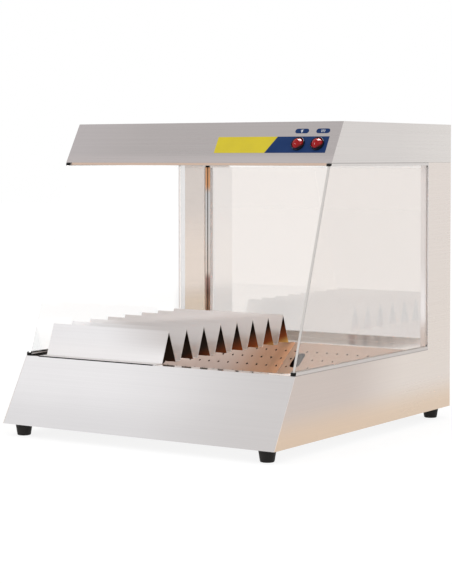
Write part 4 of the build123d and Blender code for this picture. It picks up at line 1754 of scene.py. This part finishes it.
class WireGrid(GeometryBoard):
    """Round wires side by side, with a wire frame round them."""

    def __init__(self) -> None:
        """Wire the group."""
        super().__init__(
            "wire_grid",
            {
                "Centre": VECTOR_IN,
                "Length": FLOAT_IN,
                "Width": FLOAT_IN,
                "Count": INT_IN,
                "Radius": FLOAT_IN,
                "Corner": FLOAT_IN,
                "Finish": MATERIAL_IN,
            },
        )
        given = self.given
        round_wire = self.out(
            "GeometryNodeCurvePrimitiveCircle", {"Resolution": 10, "Radius": given["Radius"]}
        )
        half = self.maths("MULTIPLY", given["Width"], 0.5)
        ends = [
            self.out("ShaderNodeCombineXYZ", {1: self.maths("MULTIPLY", half, sign)})
            for sign in (-1.0, 1.0)
        ]
        bar = self.out("GeometryNodeCurvePrimitiveLine", {"Start": ends[0], "End": ends[1]})
        wire = self.out(
            "GeometryNodeCurveToMesh",
            {"Curve": bar, "Profile Curve": round_wire, "Fill Caps": True},
        )
        gap = self.maths("DIVIDE", given["Length"], self.maths("ADD", given["Count"], 1.0))
        first = self.maths("SUBTRACT", gap, self.maths("MULTIPLY", given["Length"], 0.5))
        line = self.out(
            "GeometryNodeMeshLine",
            {
                "Count": given["Count"],
                "Start Location": self.out("ShaderNodeCombineXYZ", {0: first}),
                "Offset": self.out("ShaderNodeCombineXYZ", {0: gap}),
            },
        )
        bars = self.out("GeometryNodeInstanceOnPoints", {"Points": line, "Instance": wire})
        rim = self.out(
            "GeometryNodeCurvePrimitiveQuadrilateral",
            {"Width": given["Length"], "Height": given["Width"]},
        )
        rounded = self.out(
            "GeometryNodeFilletCurve",
            {"Curve": rim, "Count": 6, "Radius": given["Corner"]},
            mode="POLY",
        )
        hoop = self.out("GeometryNodeCurveToMesh", {"Curve": rounded, "Profile Curve": round_wire})
        joined = self.add("GeometryNodeJoinGeometry")
        for part in (bars, hoop):
            self.tree.links.new(part, joined.inputs[0])
        self.close(self.moved(joined.outputs[0], given["Centre"]), given["Finish"])


class Coil(GeometryBoard):
    """A wound wire lying along X."""

    def __init__(self) -> None:
        """Wire the group."""
        super().__init__(
            "wound_filament",
            {
                "Start": VECTOR_IN,
                "Length": FLOAT_IN,
                "Turns": FLOAT_IN,
                "Radius": FLOAT_IN,
                "Wire Radius": FLOAT_IN,
                "Finish": MATERIAL_IN,
            },
        )
        given = self.given
        spiral = self.out(
            "GeometryNodeCurveSpiral",
            {
                "Resolution": 10,
                "Rotations": given["Turns"],
                "Start Radius": given["Radius"],
                "End Radius": given["Radius"],
                "Height": given["Length"],
            },
        )
        wire = self.out(
            "GeometryNodeCurvePrimitiveCircle", {"Resolution": 5, "Radius": given["Wire Radius"]}
        )
        tube = self.out(
            "GeometryNodeCurveToMesh",
            {"Curve": spiral, "Profile Curve": wire, "Fill Caps": True},
        )
        laid = self.out(
            "GeometryNodeTransform",
            {"Geometry": tube, "Translation": given["Start"], "Rotation": (0.0, math.pi / 2, 0.0)},
        )
        self.close(laid, given["Finish"])


@dataclass
class HeatLamps:
    """Reflector, quartz lamps with wound filaments, holders and the wire guard."""

    filament_radius: float = 2.2 * MM
    wire_radius: float = 0.35 * MM
    turns: float = 90.0
    inset: float = 22.0 * MM
    guard_wire: float = 1.45 * MM
    guard_count: int = 9
    guard_corner: float = 6.0 * MM

    def build(self) -> None:
        """Stand the lamps and what holds them."""
        # Painted warm light from the lamps: brown-peach steel, paler on the front flange and on the
        # underside.
        under = BrushedSteel(
            "steel_hood_underside",
            srgb(150, 128, 112),
            painted_facing_tones=((FRONT, srgb(208, 184, 168)), (UNDER, srgb(176, 158, 144))),
            roughness=0.2,
            grain=0.6,
        ).material()
        mirror = BrushedSteel("bright_reflector", srgb(236, 226, 212), roughness=0.12, grain=0.4)
        mirror = mirror.material()
        quartz = ClearGlass("quartz_tube", srgb(255, 236, 210), 1.3, smear=0.05).material()
        ember = Moulding(
            "filament_glow",
            srgb(255, 150, 60),
            srgb(255, 120, 40),
            0.5,
            relief=0.0,
            lit=9.0,
            glow=(1.0, 0.42, 0.13),
        ).material()
        ceramic = Moulding(
            "glazed_ceramic", srgb(228, 224, 214), srgb(214, 208, 196), 0.28, 500.0, 0.06, 0.3
        ).material()
        plated = OxidisedMetal("plated_wire", srgb(196, 194, 192), srgb(176, 160, 146), 0.22).material()
        softened("hood_underpan", under, 0.4 * MM)
        softened("lamp_reflector", mirror, 0.4 * MM)
        coil = Coil()
        for end in ("front", "rear"):
            softened(f"heat_lamp_{end}", quartz, 0.8 * MM)
            low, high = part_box(f"heat_lamp_{end}")
            filament = coil.make(
                f"filament_{end}",
                {
                    "Start": Vector((low.x + self.inset, (low.y + high.y) / 2, (low.z + high.z) / 2)),
                    "Length": high.x - low.x - 2 * self.inset,
                    "Turns": self.turns,
                    "Radius": self.filament_radius,
                    "Wire Radius": self.wire_radius,
                    "Finish": ember,
                },
            )
            adopt(filament, "cabinet")
            for hand in ("left", "right"):
                softened(f"lamp_holder_{end}_{hand}", ceramic, 0.8 * MM)
        low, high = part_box("lamp_guard")
        guard = WireGrid().make(
            "wire_guard",
            {
                "Centre": (low + high) / 2,
                "Length": high.x - low.x - 2 * self.guard_wire,
                "Width": high.y - low.y - 2 * self.guard_wire,
                "Count": self.guard_count,
                "Radius": self.guard_wire,
                "Corner": self.guard_corner,
                "Finish": plated,
            },
        )
        shade(guard.data)
        adopt(guard, "cabinet", ("lamp_guard",))


# ---- marks on the hood's face


@dataclass
class HoodFace:
    """The hood's sloping face, measured across and up the slope.

    Attributes:
        lean: Distance of its top behind its foot.
        film: Thickness of what is printed on it.
    """

    lean: float = 41.7 * MM
    film: float = 0.12 * MM

    def __post_init__(self) -> None:
        """Find the face's foot and slope."""
        low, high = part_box("hood_shell")
        self.foot = Vector((0.0, low.y, low.z))
        angle = math.atan2(self.lean, high.z - low.z)
        self.up = Vector((0.0, math.sin(angle), math.cos(angle)))
        self.out = Vector((0.0, -math.cos(angle), math.sin(angle)))

    def point(self, across: float, up: float, proud: float = 0.0) -> Vector:
        """A point over the face, from its X, its distance up the slope and its height."""
        return self.foot + Vector((across, 0, 0)) + self.up * up + self.out * proud

    def patch(self, name: str, shapes: list[list[Point]], finish: Material, proud: float = 0.0) -> None:
        """Lay thin printed shapes on the face.

        Args:
            name: Name of the piece.
            shapes: Outlines in metres across and up the slope.
            finish: Their material.
            proud: Height of their back over the face.
        """
        shell = bmesh.new()
        for shape in shapes:
            prism([self.point(x, up, proud + self.film) for x, up in shape], self.out * -self.film, shell)
        place(mesh_from(shell, name, finish), name, "cabinet")


def rounded_bar(centre: Point, length: float, height: float, radius: float, steps: int = 6) -> list[Point]:
    """Outline a bar with round corners.

    Args:
        centre: Its middle.
        length: Its length.
        height: Its height.
        radius: Radius of its corners.
        steps: Steps round a corner.

    Returns:
        The points, counter-clockwise.
    """
    points = []
    for turn, (sx, sy) in enumerate(((1, 1), (-1, 1), (-1, -1), (1, -1))):
        cx = centre[0] + sx * (length / 2 - radius)
        cy = centre[1] + sy * (height / 2 - radius)
        for step in range(steps + 1):
            angle = math.pi / 2 * (turn + step / steps)
            points.append((cx + radius * math.cos(angle), cy + radius * math.sin(angle)))
    return points


def disc(centre: Point, radius: float, steps: int = 20) -> list[Point]:
    """Outline of a disc, counter-clockwise."""
    turns = [2 * math.pi * step / steps for step in range(steps)]
    return [(centre[0] + radius * math.cos(a), centre[1] + radius * math.sin(a)) for a in turns]


def stroke(points: list[Point], width: float) -> list[Point]:
    """Outline a line of even width.

    Args:
        points: The points that it runs through.
        width: Its width.

    Returns:
        The points, counter-clockwise.
    """
    left, right = [], []
    for spot, here in enumerate(points):
        before = points[max(spot - 1, 0)]
        after = points[min(spot + 1, len(points) - 1)]
        run = math.hypot(after[0] - before[0], after[1] - before[1])
        side = (-(after[1] - before[1]) / run * width / 2, (after[0] - before[0]) / run * width / 2)
        left.append((here[0] + side[0], here[1] + side[1]))
        right.append((here[0] - side[0], here[1] - side[1]))
    return right + left[::-1]


class Mark(Enum):
    """A plain sign printed over a switch."""

    LIGHT = "light"
    HEAT = "heat"

    def shapes(self, centre: Point) -> list[list[Point]]:
        """Outlines of the sign.

        Args:
            centre: Middle of the sign, across and up the slope.

        Returns:
            Its shapes.
        """
        x, up = centre
        if self is Mark.LIGHT:
            bulb, ray_ends, ray_width = 1.9 * MM, (2.6, 3.7), 0.45 * MM
            rays = []
            for turn in (-60, -30, 0, 30, 60):
                dx, dy = math.sin(math.radians(turn)), math.cos(math.radians(turn))
                ray = [(x + dx * reach * MM, up + dy * reach * MM) for reach in ray_ends]
                rays.append(stroke(ray, ray_width))
            cap = rounded_bar((x, up - 2.75 * MM), 1.7 * MM, 1.1 * MM, 0.3 * MM)
            return [disc(centre, bulb), cap, *rays]
        swing, bends, foot, rise_step, wave_width = 0.75, 1.9, -2.8, 0.4, 0.75 * MM
        waves = []
        for column in (-3.0, 0.0, 3.0):
            wave = [
                (x + (column + swing * math.sin(rise * bends)) * MM, up + rise * MM)
                for rise in [foot + rise_step * step for step in range(15)]
            ]
            waves.append(stroke(wave, wave_width))
        return waves


@dataclass
class HoodMarks:
    """Coloured band and switch signs on the hood's face.

    Attributes:
        low: Lower edge of the band, up the slope.
        split_low: X of the joint of its colours at that edge.
        sign_up: Height of the signs, up the slope.
        sign_size: Length and height of a sign's ground.
    """

    low: float = 20.4 * MM
    high: float = 53.3 * MM
    start: float = 39.5 * MM
    split_low: float = 145.7 * MM
    split_high: float = 164.0 * MM
    end: float = 269.0 * MM
    sign_up: float = 64.4 * MM
    sign_xs: tuple[float, float] = (210.5 * MM, 253.0 * MM)
    sign_size: Point = (27.5 * MM, 9.4 * MM)

    def build(self) -> None:
        """Print the band and the signs."""
        face = HoodFace()
        texture, relief = 300.0, 0.03
        yellow = Moulding("film_yellow", srgb(216, 196, 20), srgb(211, 191, 24), 0.5, texture, relief)
        blue = Moulding("film_blue", srgb(22, 50, 98), srgb(28, 56, 104), 0.5, texture, relief, gloss=0.12)
        white = Moulding("film_white", srgb(226, 228, 232), srgb(216, 218, 224), 0.42, texture, relief, 0.1)
        yellow, blue, white = yellow.material(), blue.material(), white.material()
        joint = ((self.split_low, self.low), (self.split_high, self.high))
        left = [(self.start, self.low), *joint, (self.start, self.high)]
        right = [joint[0], (self.end, self.low), (self.end, self.high), joint[1]]
        face.patch("band_yellow", [left], yellow)
        face.patch("band_blue", [right], blue)
        centres = [(x, self.sign_up) for x in self.sign_xs]
        radius = self.sign_size[1] / 2 - 0.01 * MM
        pills = [rounded_bar(centre, *self.sign_size, radius) for centre in centres]
        face.patch("sign_grounds", pills, blue)
        signs = Mark.LIGHT.shapes(centres[0]) + Mark.HEAT.shapes(centres[1])
        face.patch("sign_marks", signs, white, face.film)


@dataclass
class Switches:
    """Two round lit rocker switches, each a cupped black collar with a domed red cap.

    Attributes:
        up_slope: Distance of the switch's middle up the hood's face.
        collar: Radius of the collar; mouth, barrel and bore are the radii inside it.
        collar_height: Its height over the face.
        depth: Length of the barrel behind the face; bore_depth is the bore's.
        axis_depth: Depth of the rocking axis behind the face.
        dome: Radius of the cap, about that axis; skirt is the height of its lower edge.
        plug: Radius of the cap's core; tail is its depth under the axis.
        tilt: Turn of the cap in its pressed state.
        steps: Points round each turned piece.
        painted_shade_way: Direction in which the cap darkens, painted shade.
        painted_shade_back: Distance of the switch's middle behind its body's, along it.
        painted_shade_span: Where the cap starts and ends darkening, from that middle.
    """

    up_slope: float = 38.0 * MM
    collar: float = 12.8 * MM
    collar_height: float = 3.2 * MM
    mouth: float = 11.6 * MM
    barrel: float = 10.0 * MM
    bore: float = 9.0 * MM
    depth: float = 18.0 * MM
    bore_depth: float = 8.0 * MM
    axis_depth: float = 1.6 * MM
    dome: float = 11.3 * MM
    skirt: float = 3.7 * MM
    plug: float = 8.7 * MM
    tail: float = 4.0 * MM
    tilt: float = math.radians(9.0)
    steps: int = 64
    painted_shade_way: Triple = (0.6, 0.0, -1.0)
    painted_shade_back: float = 1.0 * MM
    painted_shade_span: Point = (2.0 * MM, 7.0 * MM)

    def arc(self, radius: float, start: float, end: float, count: int) -> list[Point]:
        """Points of a round profile between two angles from the axis of revolution."""
        turns = [start + (end - start) * step / count for step in range(count + 1)]
        return [(radius * math.sin(turn), radius * math.cos(turn)) for turn in turns]

    def frame(self, x: float, depth: float, tilt: float) -> Matrix:
        """Where a lathed piece stands: its axis along the face's outward direction.

        Args:
            x: The switch's X.
            depth: Depth of its origin behind the face.
            tilt: Turn about X, upper half inwards.

        Returns:
            The matrix.
        """
        face = HoodFace()
        out = face.out * math.cos(tilt) + face.up * math.sin(tilt)
        up = face.up * math.cos(tilt) - face.out * math.sin(tilt)
        turned = Matrix((Vector((1.0, 0.0, 0.0)), up, out)).transposed().to_4x4()
        return Matrix.Translation(face.point(x, self.up_slope, -depth)) @ turned

    def collar_profile(self) -> list[Point]:
        """Draw the section of the collar, barrel and bore.

        Returns:
            Radius and height of each point.
        """
        rim = (self.collar - self.mouth) / 2
        middle = self.mouth + rim
        crown = [
            (middle + rim * math.cos(turn), self.collar_height - rim + rim * math.sin(turn))
            for turn in [math.pi * step / 8 for step in range(9)]
        ]
        return [
            (0.0, -self.depth),
            (self.barrel, -self.depth),
            (self.barrel, 0.0),
            (self.collar, 0.0),
            *crown,
            (self.mouth, 0.1 * MM),
            (self.bore + 0.2 * MM, 0.1 * MM),
            (self.bore, -0.1 * MM),
            (self.bore, -self.bore_depth),
            (0.0, -self.bore_depth),
        ]

    def cap_profile(self) -> list[Point]:
        """Draw the section of the domed cap and its core.

        Returns:
            Radius and height of each point.
        """
        top = math.acos(self.skirt / self.dome)
        neck = math.acos(self.skirt / self.plug)
        base = math.pi - math.acos(self.tail / self.plug)
        core = self.arc(self.plug, base, neck, 10)
        return [(0.0, -self.tail), *core, *self.arc(self.dome, top, 0.0, 20)[:-1], (0.0, self.dome)]

    def build(self) -> None:
        """Stand the collars and their caps."""
        black = Moulding(
            "switch_black", srgb(14, 14, 16), srgb(20, 20, 22), 0.18, 1200.0, 0.03, gloss=0.22
        ).material()
        way = Vector(self.painted_shade_way)
        for name in ("light", "heat"):
            low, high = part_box(f"{name}_switch_body")
            x = (low.x + high.x) / 2
            # Painted shade: the red cap darkens to near black towards its lower right.
            middle = way.dot((low + high) / 2) - self.painted_shade_back
            start, end = (middle + reach for reach in self.painted_shade_span)
            red = Moulding(
                f"rocker_red_{name}",
                srgb(154, 5, 11),
                srgb(166, 10, 15),
                0.1,
                160.0,
                0.0,
                gloss=0.22,
                painted_shade=PaintedDrift(None, self.painted_shade_way, start, end, srgb(24, 12, 12)),
            ).material()
            for profile, part, finish, depth, tilt, body in (
                (self.collar_profile(), "switch_body", black, 0.0, 0.0, "cabinet"),
                (self.cap_profile(), "rocker", red, self.axis_depth, self.tilt, f"{name}_key"),
            ):
                piece_name = f"{name}_{part}_turned"
                mesh = lathe(profile, self.steps, piece_name, finish)
                mesh.transform(self.frame(x, depth, tilt))
                place(mesh, piece_name, body, (f"{name}_{part}",))


# ---- base and rear fittings


class Fasteners(GeometryBoard):
    """Copies of one screw head, set on a pattern of points."""

    def __init__(self) -> None:
        """Wire the group."""
        super().__init__(
            "fastener_pattern",
            {
                "Pattern": OBJECT_IN,
                "Head": OBJECT_IN,
                "Turn": FLOAT_IN,
                "Seed": INT_IN,
                "Facing": VECTOR_IN,
                "Finish": MATERIAL_IN,
            },
        )
        given = self.given
        pattern = self.add("GeometryNodeObjectInfo", {"Object": given["Pattern"]})
        head = self.add("GeometryNodeObjectInfo", {"Object": given["Head"]})
        spin = self.add(
            "FunctionNodeRandomValue", {"Max": given["Turn"], "Seed": given["Seed"]}, data_type="FLOAT"
        )
        spun = next(s for s in spin.outputs if s.enabled)
        most = next(s for s in spin.inputs if s.enabled and s.name == "Max")
        self.tree.links.new(given["Turn"], most)
        drive = self.out("ShaderNodeCombineXYZ", {2: spun})
        heads = self.out(
            "GeometryNodeInstanceOnPoints",
            {"Points": pattern.outputs["Geometry"], "Instance": head.outputs["Geometry"]},
        )
        stood = self.out("GeometryNodeRotateInstances", {"Instances": heads, "Rotation": given["Facing"]})
        turned = self.out(
            "GeometryNodeRotateInstances",
            {"Instances": stood, "Rotation": drive, "Local Space": True},
        )
        self.close(turned, given["Finish"])


@dataclass
class RearFittings:
    """Rear panel screws, the cable bushing and the parts under the well.

    Attributes:
        head_wall: Share of a head's height which is upright.
        head_root: Depth of its foot in the panel.
        recess: Depth of its cross.
        cross_half: Half width and half length of the cross's arms.
    """

    head_radius: float = 3.75 * MM
    head_height: float = 2.2 * MM
    head_wall: float = 0.35
    head_root: float = 0.3 * MM
    recess: float = 1.3 * MM
    cross_half: Point = (0.45 * MM, 2.0 * MM)

    def screw_head(self, steel: Material) -> Piece:
        """Turn a pan head with a cross recess, standing on the XY plane.

        Args:
            steel: Its finish.

        Returns:
            The head.
        """
        r, h, wall = self.head_radius, self.head_height, self.head_wall
        turns = [math.pi / 2 * step / 6 for step in range(6, -1, -1)]
        dome = [(r * math.sin(turn), h * (wall + (1 - wall) * math.cos(turn))) for turn in turns]
        root = [(0.0, -self.head_root), (r * 0.98, -self.head_root), (r, 0.0)]
        head = stand("pan_head", lathe([*root, *dome], 28, "pan_head", steel))
        cross = bmesh.new()
        wide, long = self.cross_half
        floor_z, top_z = h - self.recess, h + 1.0 * MM
        for half_x, half_y in ((long, wide), (wide, long)):
            corners = [Vector((sx * half_x, sy * half_y, top_z)) for sx, sy in SQUARE]
            prism(corners, Vector((0, 0, floor_z - top_z)), cross)
        cutter = stand("cross", mesh_from(cross, "cross", steel))
        cut = head.modifiers.new("recess", "BOOLEAN")
        cut.object = cutter
        cut.operation = "DIFFERENCE"
        cut.solver = "EXACT"
        cut.use_self = True
        made = bpy.data.meshes.new_from_object(head.evaluated_get(bpy.context.evaluated_depsgraph_get()))
        shade(made)
        bpy.data.objects.remove(head)
        bpy.data.objects.remove(cutter)
        return stand("pan_head", made)

    def screw_places(self) -> Piece:
        """Find the middle of each screw's head on the CAD node.

        Returns:
            A cloud of points, one for each screw.
        """
        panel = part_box("base_rear_panel")[1].y
        crown, reach = panel + self.head_height * 0.9, 3 * self.head_radius
        mesh = frame["nodes"]["rear_panel_screws"].data
        tops = [vertex.co for vertex in mesh.vertices if vertex.co.y >= crown]
        spots: list[Vector] = []
        for top in tops:
            if all((spot - top).xz.length >= reach for spot in spots):
                spots.append(top.copy())
        centres = []
        for spot in spots:
            near = [top for top in tops if (top - spot).xz.length < reach]
            ring = {tuple(round(part, 5) for part in top) for top in near}
            centre = sum((Vector(point) for point in ring), Vector()) / len(ring)
            centres.append(Vector((centre.x, panel, centre.z)))
        points = bpy.data.meshes.new("screw_places")
        points.from_pydata(centres, [], [])
        return stand("screw_places", points)

    def build(self) -> None:
        """Stand the screws and dress the other fittings."""
        zinc = OxidisedMetal("zinc_plate", srgb(196, 196, 192), srgb(178, 176, 170), 0.28).material()
        nylon = Moulding("nylon_black", srgb(28, 28, 28), srgb(36, 36, 36), 0.45, 900.0, 0.08).material()
        cream = Moulding("fitting_cream", srgb(214, 206, 190), srgb(204, 194, 176), 0.4, 700.0, 0.08)
        phenolic = cream.material()
        sheath = OxidisedMetal("heater_sheath", srgb(70, 64, 60), srgb(96, 76, 62), 0.4).material()
        clip = BrushedSteel("steel_bracket", srgb(180, 176, 172), roughness=0.35).material()
        head, places = self.screw_head(zinc), self.screw_places()
        screws = Fasteners().make(
            "panel_screws",
            {
                "Pattern": places,
                "Head": head,
                "Turn": math.pi,
                "Seed": 4,
                "Facing": Vector((-math.pi / 2, 0, 0)),
                "Finish": zinc,
            },
        )
        for bench in (head, places):
            bpy.data.objects.remove(bench)
        adopt(screws, "cabinet", ("rear_panel_screws",))
        softened("cable_bushing", nylon, 0.5 * MM)
        dress("terminal_block", phenolic)
        dress("thermal_cutout", phenolic)
        dress("base_heater", sheath)
        dress("heater_brackets", clip)
        dress("foot_screws", zinc)


@dataclass
class Feet:
    """Four tapered rubber feet."""

    edge: float = 1.6 * MM
    steps: int = 3

    def build(self) -> None:
        """Stand the feet."""
        rubber = Moulding(
            "rubber_foot", srgb(28, 25, 23), srgb(36, 32, 30), 0.6, 800.0, 0.2, gloss=0.25
        ).material()
        for end in ("front", "rear"):
            for hand in ("left", "right"):
                foot = softened(f"foot_{end}_{hand}", rubber, self.edge)
                foot.modifiers["edges"].segments = self.steps


# ---- studio


@dataclass(frozen=True)
class AreaLamp:
    """One soft square lamp.

    Attributes:
        name: The lamp's name.
        at: Where it hangs.
        towards: What it points at.
        size: Its side.
        power: Watts.
        colour: Its colour.
        mirrored: True where steel and glass show it.
        spread: Angle that its light fans out to.
    """

    name: str
    at: Triple
    towards: Triple
    size: float
    power: float
    colour: Colour = (1, 1, 1)
    mirrored: bool = False
    spread: float = math.pi

    def hang(self) -> Piece:
        """Put the lamp in the scene.

        Returns:
            The lamp.
        """
        data = bpy.data.lights.new(self.name, "AREA")
        data.size = self.size
        data.energy = self.power
        data.color = self.colour
        data.spread = self.spread
        lamp = stand(self.name, data)
        lamp.visible_glossy = self.mirrored
        lamp.location = self.at
        lamp.rotation_mode = "QUATERNION"
        lamp.rotation_quaternion = (Vector(self.towards) - Vector(self.at)).to_track_quat("-Z", "Y")
        return lamp


@dataclass
class Studio:
    """Pale floor, soft lamps, white surroundings and the camera.

    Attributes:
        reach: Half width of the floor.
        floor_tone: Grey of the floor under the lamps.
        floor_share: Share of its own light in what the eye, gloss and glass show.
        floor_levels: Strength of that light, and what the camera and glass add to it.
        world_level: Strength of the surroundings on matt surfaces.
        glass_gain: What glass adds to the surroundings behind it.
        lamp_drop: Distance of the warm lamps under the guard.
    """

    turn: float = math.radians(33.25)
    tilt: float = math.radians(2.2)
    lens: float = 108.3
    shift: float = -0.1150
    stand_at: Triple = (1.7834, -2.7472, 0.5023)
    reach: float = 12.0
    floor_tone: float = 0.86
    floor_share: float = 0.72
    floor_levels: Triple = (1.07, 0.07, 0.15)
    world_level: float = 0.86
    glass_gain: float = 0.08
    lamp_drop: float = 4.0 * MM

    def seen(self, board: Board) -> tuple[Socket, Socket, Socket]:
        """Tell the rays that show a background from the rays that light a surface.

        Args:
            board: The node tree.

        Returns:
            1 for camera, glossy and transmission rays, then the flags of the first and the last.
        """
        path = board.add("ShaderNodeLightPath").outputs
        either = board.maths("MAXIMUM", path["Is Camera Ray"], path["Is Glossy Ray"])
        shown = board.maths("MAXIMUM", either, path["Is Transmission Ray"])
        return shown, path["Is Camera Ray"], path["Is Transmission Ray"]

    def world(self) -> None:
        """White surroundings, with a softer light for matt surfaces."""
        world = bpy.data.worlds.new("studio")
        bpy.context.scene.world = world
        world.use_nodes = True
        board = Board(world.node_tree)
        board.tree.nodes.clear()
        shown, _, through = self.seen(board)
        level = board.maths("MULTIPLY_ADD", through, self.glass_gain, 1.0)
        white = board.out("ShaderNodeBackground", {"Color": (1, 1, 1, 1), "Strength": level})
        soft = board.out("ShaderNodeBackground", {"Color": (1, 1, 1, 1), "Strength": self.world_level})
        mixed = board.out("ShaderNodeMixShader", {0: shown, 1: soft, 2: white})
        out = board.add("ShaderNodeOutputWorld")
        board.tree.links.new(mixed, out.inputs[0])

    def floor(self) -> None:
        """A wide pale floor that keeps the object's shadow."""
        shell = bmesh.new()
        corners = [Vector((sx * self.reach, sy * self.reach, 0.0)) for sx, sy in SQUARE]
        shell.faces.new([shell.verts.new(corner) for corner in corners])
        board = ShaderBoard("studio_floor")
        matt = board.out("ShaderNodeBsdfDiffuse", {"Color": (*[self.floor_tone] * 3, 1.0)})
        shown, seen, through = self.seen(board)
        base, seen_gain, through_gain = self.floor_levels
        level = board.maths("MULTIPLY_ADD", seen, seen_gain, base)
        level = board.maths("MULTIPLY_ADD", through, through_gain, level)
        white = board.out("ShaderNodeEmission", {"Color": (1, 1, 1, 1), "Strength": level})
        share = board.maths("MULTIPLY", shown, self.floor_share)
        mixed = board.out("ShaderNodeMixShader", {0: share, 1: matt, 2: white})
        stand("floor", mesh_from(shell, "floor", board.finish(mixed)))

    def linked(self, lamp: Piece, ending: str, role: str) -> None:
        """Limit a lamp to the pieces whose names end one way, or what may block it.

        Args:
            lamp: The lamp.
            ending: End of the pieces' names.
            role: receiver, for what it lights, or blocker, for what shades it.
        """
        group = bpy.data.collections.new(f"{lamp.name}_{role}s")
        for piece in bpy.data.objects:
            if piece.name.endswith(ending):
                group.objects.link(piece)
        setattr(lamp.light_linking, f"{role}_collection", group)

    def window(self, name: str, way: Triple, distance: float, size: float, power: float) -> None:
        """Hang a lamp that shows only in the gloss of the switch caps and collars.

        Args:
            name: The lamp's name.
            way: Direction of the lamp from the switches.
            distance: Its distance.
            size: Its side.
            power: Watts.
        """
        low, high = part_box("light_switch_body")
        middle = (low + high) / 2
        at = middle + Vector(way).normalized() * distance
        lamp = AreaLamp(name, tuple(at), tuple(middle), size, power, mirrored=True).hang()
        lamp.visible_diffuse = False
        self.linked(lamp, "_turned", "receiver")

    def camera(self) -> None:
        """Stand the camera."""
        data = bpy.data.cameras.new("camera")
        data.lens = self.lens
        data.shift_y = self.shift
        data.clip_end = 50.0
        camera = stand("camera", data)
        camera.location = self.stand_at
        camera.rotation_euler = (math.pi / 2 - self.tilt, 0.0, self.turn)
        bpy.context.scene.camera = camera

    def build(self) -> None:
        """Set the studio up."""
        bpy.context.scene.view_settings.view_transform = "Standard"
        self.world()
        self.floor()
        self.camera()
        middle = (0, 0, 0.25)
        AreaLamp("key", (-1.6, -2.2, 2.4), middle, 1.6, 9.0).hang()
        AreaLamp("fill", (2.6, -1.2, 1.6), middle, 0.7, 4.0, mirrored=True).hang()
        self.window("window", (0.132, 0.252, 0.952), 1.1, 0.8, 80.0)
        self.window("window_low", (-0.56, -0.80, 0.23), 1.2, 0.3, 6.0)
        low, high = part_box("drain_plate_right")
        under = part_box("lamp_guard")[0].z - self.lamp_drop
        for name, y, colour in (
            ("warm_front", -0.06, (1.0, 0.80, 0.66)),
            ("warm_rear", 0.09, (1.0, 0.66, 0.42)),
        ):
            target = ((low.x + high.x) / 2, y, 0.0)
            AreaLamp(name, (0.06, y, under), target, 0.12, 0.3, colour, spread=math.radians(130)).hang()
        at, target = (-0.22, 0.04, under), (-0.22, 0.12, 0.09)
        well = AreaLamp("warm_well", at, target, 0.2, 2.2, (1.0, 0.91, 0.88)).hang()
        for role in ("receiver", "blocker"):
            self.linked(well, "perforated_plate_left", role)


def main() -> None:
    """Build the object and its studio."""
    logging.basicConfig(level=logging.INFO, format="%(message)s")
    for part in (
        Casing(),
        Columns(),
        Glazing(),
        Well(),
        DividerRack(),
        HeatLamps(),
        HoodMarks(),
        Switches(),
        RearFittings(),
        Feet(),
        Studio(),
    ):
        part.build()
        LOG.info("%s done", type(part).__name__)


if __name__ == "__main__":
    main()
